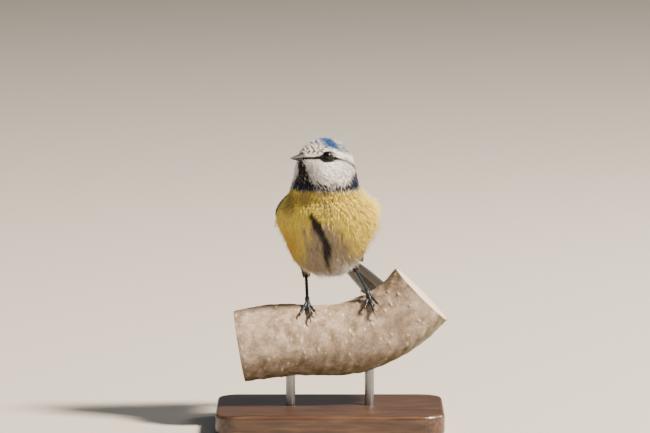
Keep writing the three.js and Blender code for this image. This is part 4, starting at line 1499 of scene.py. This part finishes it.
@dataclass
class Wing:
    """A folded wing of overlapping vanes, laid on the body's side."""

    side: int
    name: str
    template: Template = field(default_factory=lambda: vane_template(8, 18))
    turns: dict[int, tuple[float, float]] = field(default_factory=lambda: {1: (-30.0, -43.0), -1: (5.0, 0.0)})
    tucked: dict[int, float] = field(default_factory=lambda: {1: 1.0, -1: 0.35})

    def turn(self, s: Array) -> Array:
        """How far the wing is shifted round the body, at places along it."""
        wrist, tip = self.turns[self.side]
        return mix(wrist, tip, smooth(20, 50, s))

    def cover(self, points: Array, margin: float = 0.0) -> Array:
        """1 where the wing covers points of the plumage, or comes within a margin in degrees, else 0."""
        s = (points - WING_START) @ WING_ALONG
        rel = points - WING_START - s[:, None] * WING_ALONG
        angle = np.degrees(np.arctan2(self.side * rel[:, 0], rel @ WING_BACK))
        angle = angle - self.turn(s)
        inner = np.interp(s, [-4, 4, 13, 30, 40, 52], [55, 36, 28, 30, 48, 60])
        outer = np.interp(s, [-4, 0, 8, 26, 40, 52], [90, 95, 92, 88, 80, 68])
        edge = (np.minimum(angle - inner, outer - angle) + margin) / 8
        return np.clip(edge, 0, 1) * (s > -4) * (s < 53)

    def bed(self) -> tuple[Array, Array, Array]:
        """The bed's distance from the wing's line, over a grid of places along it and turns round it."""
        along = np.linspace(-9, 62, 72)
        around = np.linspace(-40, 118, 80)
        s, a = (g.ravel() for g in np.meshgrid(along, around, indexing="ij"))
        centre = WING_START + s[:, None] * WING_ALONG
        body = PLUMAGE.reach(centre, self.out(a), GAP + 0.05)
        carried = mix(mix(7, 12.6, smooth(-6, 12, s)), 3.9, smooth(14, 54, s))
        bed = (body + carried + np.hypot(body - carried, 1.6)) / 2
        return along, around, bed.reshape(len(along), len(around))

    def out(self, degrees: Array) -> Array:
        """The unit direction out of the wing's line at these turns from the back."""
        a = np.radians(degrees)
        return WING_BACK * np.cos(a)[:, None] + np.array([1.0, 0, 0]) * (self.side * np.sin(a))[:, None]

    def build(self, vane: bpy.types.Material) -> None:
        """Makes each row of feathers as one piece."""
        along, around, grid = self.bed()

        def radius_at(s: Array, a: Array) -> Array:
            i = np.clip((s - along[0]) / (along[1] - along[0]), 0, len(along) - 1.001)
            j = np.clip((a - around[0]) / (around[1] - around[0]), 0, len(around) - 1.001)
            i0, j0 = i.astype(int), j.astype(int)
            u, v = i - i0, j - j0
            low = mix(grid[i0, j0], grid[i0, j0 + 1], v)
            return mix(low, mix(grid[i0 + 1, j0], grid[i0 + 1, j0 + 1], v), u)

        corners = self.template.corners
        across, t, up = corners.T
        draw = np.random.default_rng(40 + self.side)
        for row in WING_ROWS:
            points, colours, flats, lengths = [], [], [], []
            for i in range(row.count):
                k = i / (row.count - 1)
                size = draw.normal(1, 0.02)
                root = np.array([mix(row.root[0], row.root[2], k), mix(row.root[1], row.root[3], k)])
                tip = np.array([mix(row.tip[0], row.tip[2], k**0.75), mix(row.tip[1], row.tip[3], k)])
                s = mix(root[0], tip[0] * size, t)
                middle = mix(root[1], tip[1], t)
                half = row.width / 2 * np.maximum(feather_width(t), 0.05)
                turn = self.turn(s)
                radius = radius_at(s, middle + turn)
                swing = np.degrees(half * across / radius)
                round_at = middle + swing + turn
                pulled = row.width * 0.12 * (across**2) * smooth(0.7, 1, t)
                s = s - pulled
                sunk = self.tucked[self.side] * np.maximum(smooth(11, -5, s), smooth(80, 89, middle))
                high = mix(mix(row.high[0], row.high[1], t), -0.6, sunk)
                high = high + 0.24 * across - 0.1 * across**2
                high = high + 0.34 * up * (1 - 0.5 * np.abs(across)) * mix(1, 0.7, t) + 0.06 * k
                centre = WING_START + s[:, None] * WING_ALONG
                made = centre + self.out(round_at) * (radius_at(s, round_at) + high)[:, None]
                points.append(BIRD.out(made))
                colour = np.tile(linear(row.base), (len(t), 1))
                colour = mix(colour, linear(row.edge), (smooth(0.45, 0.85, across) * 0.85)[:, None])
                white = smooth(0.86, 0.93, t + 0.02 * across**2)
                colour = mix(colour, linear(row.end), white[:, None]) * draw.normal(1, 0.05)
                colours.append(np.clip(colour * mix(0.75, 1.0, smooth(0.1, 0.8, t))[:, None], 0, 1))
                flats.append(across * half)
                lengths.append(t * np.linalg.norm(made.max(0) - made.min(0)))
            values = {"colour": np.array(colours), "across": np.array(flats), "along": np.array(lengths)}
            maps = {"OFBake": vane_charts(row.count, corners)}
            piece = repeated(f"wing_{self.name}_{row.name}", self.template, np.array(points), maps, values)
            dress(piece, vane, [f"wing_{self.name}"])


def vane_charts(count: int, corners: Array) -> Array:
    """A map that gives each vane its own tall cell, and each of its faces half of that."""
    cells = math.ceil(count**0.5)
    index = np.arange(count)
    origin = np.stack([index % cells, index // cells], axis=1) / cells
    half = (corners[:, 2] > 0.5) * 0.5
    inside = np.stack([0.03 + 0.42 * (corners[:, 0] / 2 + 0.5) + half, 0.04 + 0.92 * corners[:, 1]], axis=1)
    return origin[:, None] + inside[None] / cells


@dataclass
class Tail:
    """Twelve tail feathers from the end of the rump, the middle pair on top."""

    length: float = 50.0
    down: float = 31.0
    swing: float = 14.0
    roll: float = 13.0
    root: Point = (0.4, 20.6, 17.6)
    template: Template = field(default_factory=lambda: vane_template(8, 26))

    def place(self) -> Place:
        """The tail's own frame, told in the bird's: Y along it and Z up."""
        turn = turned("Z", -self.swing) @ turned("X", -self.down) @ turned("Y", -self.roll)
        return Place(turn, np.array(self.root))

    def build(self, vane: bpy.types.Material) -> None:
        """Makes the feathers of each side as one piece."""
        across, t, up = self.template.corners.T
        place = self.place()
        for side, name in ((1, "left"), (-1, "right")):
            points, colours, flats = [], [], []
            for rank in range(6):
                k = rank / 5
                x = side * mix(mix(0.5, 2.4, k), mix(0.7, 6.2, k), t**1.15)
                y = mix(-2.5, self.length - 1 + 0.25 * rank, t)
                half = mix(5.2, 4.4, k) / 2 * np.maximum(feather_width(t), 0.05)
                high = 0.9 - 0.3 * rank - 0.9 * t**2 + side * 0.12 * across - 0.12 * across**2
                high = high + 0.32 * up * (1 - 0.5 * np.abs(across))
                y = y - 0.9 * across**2 * smooth(0.8, 1, t)
                points.append(BIRD.out(place.out(np.stack([x + half * across, y, high], axis=1))))
                top = mix(linear("#4f7099")[None], linear("#6f9cc8")[None], smooth(0.3, 0.9, across * side)[:, None])
                # Underside: the vanes' real grey, darkened to grey-brown as painted shade from the body and perch.
                under = np.tile(linear("#4f4b3f"), (len(t), 1))
                edge = smooth(0.55, 0.8, across * side) * (1.0 if rank == 5 else 0.35)
                under = mix(under, linear("#8698a1"), edge[:, None])
                colour = mix(under, top, (up > 0.5)[:, None])
                colours.append(colour * mix(0.7, 1.0, smooth(0, 0.4, t))[:, None])
                flats.append(across * half)
            values = {"colour": np.array(colours), "across": np.array(flats), "along": np.tile(t * self.length, (6, 1))}
            maps = {"OFBake": vane_charts(6, self.template.corners)}
            piece = repeated(f"tail_{name}", self.template, np.array(points), maps, values)
            dress(piece, vane, ["tail"])


# The perch and the legs on it


@dataclass
class Perch:
    """A cut length of hazel, bent as in the photograph, with its bark on."""

    line: tuple[tuple[float, float], ...] = (
        (-39.0, -18.5),
        (-21.0, -15.6),
        (-5.0, -15.9),
        (8.0, -15.0),
        (20.0, -10.8),
        (31.0, -4.2),
        (39.5, 4.2),
    )
    radius: float = 15.5

    def __post_init__(self) -> None:
        """Lays the middle line."""
        self.curve = Curve([(x, 0.0, z) for x, z in self.line])

    def bark(self, share: Array, angle: Array) -> Array:
        """The radius of the bark at a share of the perch and an angle from its top towards the viewer."""
        swell = 0.35 * np.sin(share * 11 + 0.6) + 0.25 * np.sin(2 * angle + share * 5)
        knot = 0.8 * np.exp(-(((share - 0.2) / 0.07) ** 2)) * np.clip(np.cos(angle - 2.6), 0, 1) ** 3
        return self.radius + 0.9 * smooth(0.6, 1, share) + swell + knot

    def point(self, share, degrees, high) -> Array:
        """A point off the bark, in the perch's frame."""
        share, degrees, high = (a.ravel() for a in np.broadcast_arrays(share, degrees, high))
        tangent = self.curve.tangent(share)
        up = np.stack([-tangent[:, 2], np.zeros(len(share)), tangent[:, 0]], axis=1)
        a = np.radians(degrees)
        out = up * np.cos(a)[:, None] + np.array([0, -1.0, 0]) * np.sin(a)[:, None]
        return self.curve.point(share) + out * (self.bark(share, a) + high)[:, None]

    def share_under(self, x: float) -> float:
        """The share whose bark top lies at x."""
        shares = np.linspace(0, 1, 2000)
        return float(np.interp(x, self.point(shares, 0, 0)[:, 0], shares))

    def lenticels(self, share: Array, angles: Array, count: int = 190, seed: int = 33) -> Array:
        """How strongly each point of the bark is a lenticel: raised pores, most of them wider than long."""
        draw = np.random.default_rng(seed)
        found = np.zeros(len(share))
        for at, turn, size in zip(draw.uniform(0, 1, count), draw.uniform(-math.pi, math.pi, count), draw.gamma(3, 0.16, count)):
            along = (share - at) * self.curve.length
            round_by = (np.mod(angles - turn + math.pi, math.tau) - math.pi) * self.radius
            far = (along / (0.32 + 0.3 * size)) ** 2 + (round_by / (0.35 + 0.75 * size)) ** 2
            found = np.maximum(found, np.exp(-far * 1.6))
        return found

    def build(self, bark: bpy.types.Material) -> None:
        """Makes the perch with fine relief, its lenticels and its sawn ends."""
        stored = {}

        def place(angles: Array, stations: Array) -> Array:
            share = np.clip(stations, 0, 1)
            past = np.abs(stations - share)
            rough = self.point(share, np.degrees(angles), 0)
            relief = 0.14 * wobble(rough, 5.5, 31) + 0.04 * wobble(rough, 0.9, 32)
            lenticel = self.lenticels(share, angles)
            stored["tone"] = np.where(past > 0.02, 0.75, 0.65 * lenticel)
            # Lichen on the underside, widened into painted shade that darkens the bark's lower side.
            under = -np.cos(angles - 0.6) + 0.2 * wobble(rough, 5, 36)
            low = smooth(-0.3, 0.7, under) * (0.5 + 0.45 * smooth(-0.2, 0.8, wobble(rough, 5, 35)))
            stored["lichen"] = np.where(past > 0.02, 0, low)
            high = relief + 0.34 * lenticel - 0.3
            full = self.point(share, np.degrees(angles), high)
            centre = self.curve.point(share)
            rim = np.where(past > 0, 1 - 0.03, 1.0) * np.where(past > 0, 1 - past, 1.0)
            return PERCH.out(centre + (full - centre) * rim[:, None])

        stations = [-1.0, -0.66, -0.33, -0.03] + list(np.linspace(0, 1, 260)) + [1.03, 1.33, 1.66, 2.0]
        piece = wrapped("perch_bark", 200, stations, place)
        set_values(piece.data, stored)
        dress(piece, bark, ["perch_branch"])


@dataclass(frozen=True)
class Toe:
    """A toe's length, its claw's length and its heading from straight forward towards the bird's left."""

    length: float
    claw: float
    heading: float


@dataclass
class Leg:
    """A leg from its feathered thigh to the claws."""

    name: str
    stands_at: float
    turned: float
    heel: Point
    hip: Point
    toes: dict[str, Toe]
    perch: Perch
    radius: float = 0.66
    foot_high: float = 2.7

    def __post_init__(self) -> None:
        """Finds the foot on the bark."""
        self.foot = self.perch.share_under(self.stands_at)
        self.ankle = self.perch.point(self.foot, self.turned, self.foot_high)[0]
        self.down = unit(self.ankle - np.array(self.heel))

    def toe_line(self, toe: Toe, s: Array, high: Array) -> Array:
        """Points along a toe, at a height off the bark."""
        heading = math.radians(toe.heading)
        round_mm = (self.perch.radius + 1) * math.pi / 180
        share = self.foot + s * math.sin(heading) / self.perch.curve.length
        return PERCH.out(self.perch.point(share, self.turned + s * math.cos(heading) / round_mm, high))

    def build(self, skin: bpy.types.Material, claw: bpy.types.Material, down: bpy.types.Material) -> None:
        """Makes the tarsus, the toes, the claws and the thigh."""
        self.build_tarsus(skin)
        for name, toe in self.toes.items():
            self.build_toe(name, toe, skin, claw)
        self.build_thigh(down)

    def build_tarsus(self, skin: bpy.types.Material) -> None:
        """The shank with its row of scutes, and the ball of the foot."""
        heel = PERCH.out(np.array([self.heel]))[0]
        ankle = PERCH.out(self.ankle[None])[0]
        path = heel + np.linspace(0, 1, 60)[:, None] * (ankle - self.down * 1.4 - heel)

        def radius(share: Array, angles: Array) -> Array:
            scute = 0.5 + 0.5 * np.cos(2 * math.pi * 8 * share)
            return self.radius * (1 + 0.1 * scute**0.5) * mix(1.2, 0.98, smooth(0, 0.2, share))

        piece = wrapped(f"tarsus_{self.name}_skin", 28, with_ends(120), tube_place(path, radius))
        self.tone(piece, 8.0 / np.linalg.norm(path[-1] - path[0]))
        dress(piece, skin, [f"tarsus_{self.name}"])
        ball = tube_place(ankle + self.down * np.linspace(-0.9, 0.7, 8)[:, None], lambda s, a: np.full(len(s), 1.0))
        piece = wrapped(f"foot_{self.name}_ball", 24, with_ends(8, 6), ball)
        self.tone(piece, 1.0)
        dress(piece, skin, [f"foot_{self.name}"])

    def tone(self, piece: bpy.types.Object, turns: float) -> None:
        """Paler on the scutes' faces than in the creases."""
        local = points_of(piece)
        wave = 0.5 + 0.5 * np.sin(local @ self.down * math.tau * turns)
        set_values(piece.data, {"tone": 0.02 + 0.2 * wave})

    def build_toe(self, name: str, toe: Toe, skin: bpy.types.Material, claw: bpy.types.Material) -> None:
        """One toe, knuckled and padded, and its curved claw."""
        s = np.linspace(0, toe.length, 60)
        path = self.toe_line(toe, s, mix(self.foot_high, GAP + self.radius, smooth(0, 0.45 * toe.length, s)))

        def radius(share: Array, angles: Array) -> Array:
            scute = np.abs(np.sin(math.pi * share * toe.length / 0.75)) ** 0.6
            knuckle = 0.92 + 0.14 * np.cos(6 * math.pi * share)
            return self.radius * knuckle * mix(1.08, 0.86, share) * (0.95 + 0.1 * scute)

        piece = wrapped(f"foot_{self.name}_{name}", 24, with_ends(110), tube_place(path, radius))
        local = points_of(piece)
        wave = np.abs(np.sin(math.pi * np.linalg.norm(local - path[0], axis=1) / 0.75))
        set_values(piece.data, {"tone": 0.22 * wave})
        dress(piece, skin, [f"foot_{self.name}"])
        s = np.linspace(toe.length + GAP, toe.length + toe.claw, 50)
        t = (s - toe.length) / toe.claw
        path = self.toe_line(toe, s, mix(GAP + 0.62, GAP + 0.12, t) + 0.95 * np.sin(math.pi * t**0.9))
        horn = tube_place(path, lambda share, a: mix(0.5, 0.08, share**1.2), 1.15)
        piece = wrapped(f"claw_{self.name}_{name}_horn", 20, with_ends(50), horn)
        far = np.linalg.norm(points_of(piece) - path[0], axis=1) / toe.claw
        set_values(piece.data, {"tone": 0.1 + 0.55 * smooth(0.1, 0.9, far)})
        dress(piece, claw, [f"claw_{self.name}_{name}"])

    def build_thigh(self, down: bpy.types.Material) -> None:
        """The feathered thigh, from the belly to just above the heel."""
        heel = BIRD.into(PERCH.out(np.array([self.heel])))[0]
        way = unit(BIRD.turn.T @ self.down)
        above = heel - 3 * way
        hip = np.array(self.hip)
        line = Curve([tuple(hip), tuple(mix(hip, above, 0.5)), tuple(above), tuple(heel - GAP * way)])
        path = line.point(np.linspace(0, 1, 30))
        tucked = np.vstack([path, heel + np.linspace(0.6, 6, 10)[:, None] * way])

        def radius(share: Array, angles: Array | None = None) -> Array:
            return mix(5.0, 1.35, share**0.8) - mix(1.0, 0.5, share)

        piece = wrapped(f"thigh_{self.name}_skin", 40, with_ends(60, 6), tube_place(BIRD.out(path), radius))
        local = BIRD.into(points_of(piece))
        set_values(piece.data, {"colour": self.thigh_colour(local) * 0.5})
        dress(piece, down, [f"thigh_{self.name}"])
        end = len(path) / len(tucked)

        def fluffed(share: Array) -> Array:
            return np.where(share < end, mix(5.0, 1.9, (share / end) ** 0.8), mix(1.9, 1.0, (share - end) / (1 - end)))

        limb = Limb(tucked, fluffed)
        draw = np.random.default_rng(len(self.name))
        count = 1500
        share = draw.uniform(0, 1, count) ** 0.8
        angle = draw.uniform(0, math.tau, count)
        place = tube_place(path, lambda s, a: fluffed(s * end))
        points = place(angle, share)
        keep = spaced(points, np.full(count, 0.7), 5)
        points, share, angle = points[keep], share[keep], angle[keep]
        ahead = unit(np.gradient(path, axis=0))
        lie = np.stack([np.interp(share, np.linspace(0, 1, 30), ahead[:, k]) for k in range(3)], axis=1)
        roots = Roots(points, np.stack([angle / math.tau, share], axis=1), lie)
        short = Growth(at=(0.0,), length=(4.4,), half_width=(0.8,), apart=(0.7,), barbs=(14,), barb_width=(0.2,))
        coat = Coat(short, limb, BIRD, self.thigh_colour, lambda p: np.full(len(p), 0.6), lambda p: np.full(len(p), 0.35))
        coat.grow(f"coat_thigh_{self.name}", roots, Slot.THIGH, down, [f"thigh_{self.name}"], 90)

    def thigh_colour(self, points: Array) -> Array:
        """Greyish white feathers, browner lower down."""
        low = smooth(16, 24, points[:, 2])[:, None]
        return mix(linear("#857a70")[None], linear("#cbc4b8")[None], low)


@dataclass
class Stand:
    """The display stand: a rounded board and two rods up into the perch."""

    length: float = 98.0
    depth: float = 68.0
    height: float = 9.0
    corner: float = 10.0
    bevel: float = 1.5
    rod_radius: float = 2.0
    rods: tuple[float, float] = (-17.0, 17.0)

    def build(self, perch: Perch, wood: bpy.types.Material, steel: bpy.types.Material) -> None:
        """Makes the board and the rods."""
        bm = bmesh.new()
        bmesh.ops.create_cube(bm, size=1.0)
        bmesh.ops.scale(bm, vec=(self.length, self.depth, self.height), verts=bm.verts)
        bmesh.ops.translate(bm, vec=(0, 0, self.height / 2), verts=bm.verts)
        upright = [e for e in bm.edges if abs(e.verts[0].co.z - e.verts[1].co.z) > 1]
        bmesh.ops.bevel(
            bm, geom=upright, offset=self.corner, affect="EDGES", segments=10, profile=0.5, material=-1
        )
        rim = [e for e in bm.edges if abs(e.verts[0].co.z - e.verts[1].co.z) < 0.01 and len(e.link_faces) == 2]
        rim = [e for e in rim if abs(e.link_faces[0].normal.z - e.link_faces[1].normal.z) > 0.5]
        bmesh.ops.bevel(bm, geom=rim, offset=self.bevel, affect="EDGES", segments=4, profile=0.5, material=-1)
        board = object_from("stand_board", bm, smooth_faces=False)
        dress(board, wood, ["stand_base"])
        ends = np.array([perch.line[0][0], perch.line[-1][0]])
        for x, name in zip(self.rods, ("left", "right")):
            share = (x - ends[0]) / (ends[1] - ends[0])
            top = PERCH.out(perch.point(share, 180, 0))[0, 2] + 6.0
            path = np.array([[x, 0, z] for z in np.linspace(self.height - 5, top - 0.5, 4)])
            rod = tube_place(path, lambda s, a: np.full(len(s), self.rod_radius))
            piece = wrapped(f"stand_rod_{name}_steel", 40, with_ends(30, 4), rod)
            dress(piece, steel, [f"stand_rod_{name}"])


@dataclass
class Studio:
    """The floor, the light and the camera."""

    aim: Point = (-2.15, 0.0, 90.8)
    away: float = 2000.0
    elevation: float = 6.0
    lens: float = 257.6

    def build(self, paper: bpy.types.Material) -> None:
        """Lays the floor, hangs the lamps and sets the camera."""
        bm = bmesh.new()
        bmesh.ops.create_circle(bm, cap_ends=True, segments=96, radius=6000.0)
        floor = object_from("floor_paper", bm, smooth_faces=False)
        floor.data.materials.append(paper)
        self.lamp("key_light", (2050, -1080, 2250), 470, 560.0, "#ffecd4")
        self.lamp("fill_light", (-900, -900, 420), 800, 0.6, "#e3edff")
        self.lamp("rim_light", (900, 600, 600), 300, 7.0, "#fff4e4")
        world = bpy.data.worlds.new("studio")
        world.use_nodes = True
        world.node_tree.nodes["Background"].inputs["Color"].default_value = rgba("#e4e6e8")
        world.node_tree.nodes["Background"].inputs["Strength"].default_value = 0.2
        bpy.context.scene.world = world
        data = bpy.data.cameras.new("camera")
        data.lens = self.lens
        data.sensor_width = 36.0
        data.clip_end = 50.0
        camera = bpy.data.objects.new("camera", data)
        bpy.context.scene.collection.objects.link(camera)
        rise = math.radians(self.elevation)
        way = Vector((0, math.cos(rise), -math.sin(rise)))
        camera.location = (Vector(self.aim) - way * self.away) * MM
        camera.rotation_euler = way.to_track_quat("-Z", "Y").to_euler()
        bpy.context.scene.camera = camera

    def lamp(self, name: str, place: Point, size: float, watts: float, colour: str) -> None:
        """A soft square lamp that faces the bird."""
        data = bpy.data.lights.new(name, "AREA")
        data.energy = watts
        data.size = size * MM
        data.color = linear(colour)
        lamp = bpy.data.objects.new(name, data)
        lamp.location = Vector(place) * MM
        towards = Vector(self.aim) - Vector(place)
        lamp.rotation_euler = towards.to_track_quat("-Z", "Y").to_euler()
        bpy.context.scene.collection.objects.link(lamp)


def main() -> None:
    """Builds the bird, its perch and its stand, and lights them."""
    down = Down("contour_feathers").make()
    vane = Vane("flight_feathers").make()
    leg_skin = Horn("scaled_leg_skin", "#08090c", "#364552", 0.36).make()
    claw_horn = Horn("claw_keratin", "#141110", "#54463a", 0.3).make()
    bill_horn = Horn("bill_keratin", "#0b0c0f", "#262a30", 0.62).make()
    lid = Horn("lid_skin", "#040405", "#16171a", 0.7).make()
    eye = Eye("cornea_over_brown_iris").make()
    bark = Bark("hazel_bark").make()
    wood = StainedWood("stained_beech").make()
    steel = Steel("drawn_steel").make()
    paper = Paper("seamless_paper").make()

    EYES.build(eye, lid)
    BILL.build(bill_horn)
    BILL.bristles(down)
    Body().build(down)
    Wing(1, "left").build(vane)
    Wing(-1, "right").build(vane)
    Tail().build(vane)
    perch = Perch()
    right = {
        "inner": Toe(7.4, 3.6, 29),
        "middle": Toe(10.2, 4.2, 9),
        "outer": Toe(8.0, 3.8, -15),
        "hind": Toe(6.4, 5.2, 178),
    }
    left = {
        "inner": Toe(7.4, 3.6, -32),
        "middle": Toe(10.2, 4.2, -8),
        "outer": Toe(8.0, 3.8, 12),
        "hind": Toe(6.4, 5.2, -156),
    }
    Leg("right", -9.9, 8.0, (-10.4, 8.2, 13.6), (-8.5, 1, 21), right, perch).build(leg_skin, claw_horn, down)
    Leg("left", 16.6, 20.0, (10.2, 8.6, 15.2), (9, 0, 22), left, perch).build(leg_skin, claw_horn, down)
    perch.build(bark)
    Stand().build(perch, wood, steel)
    Studio().build(paper)


if __name__ == "__main__":
    logging.basicConfig(level=logging.INFO, format="%(name)s: %(message)s")
    main()
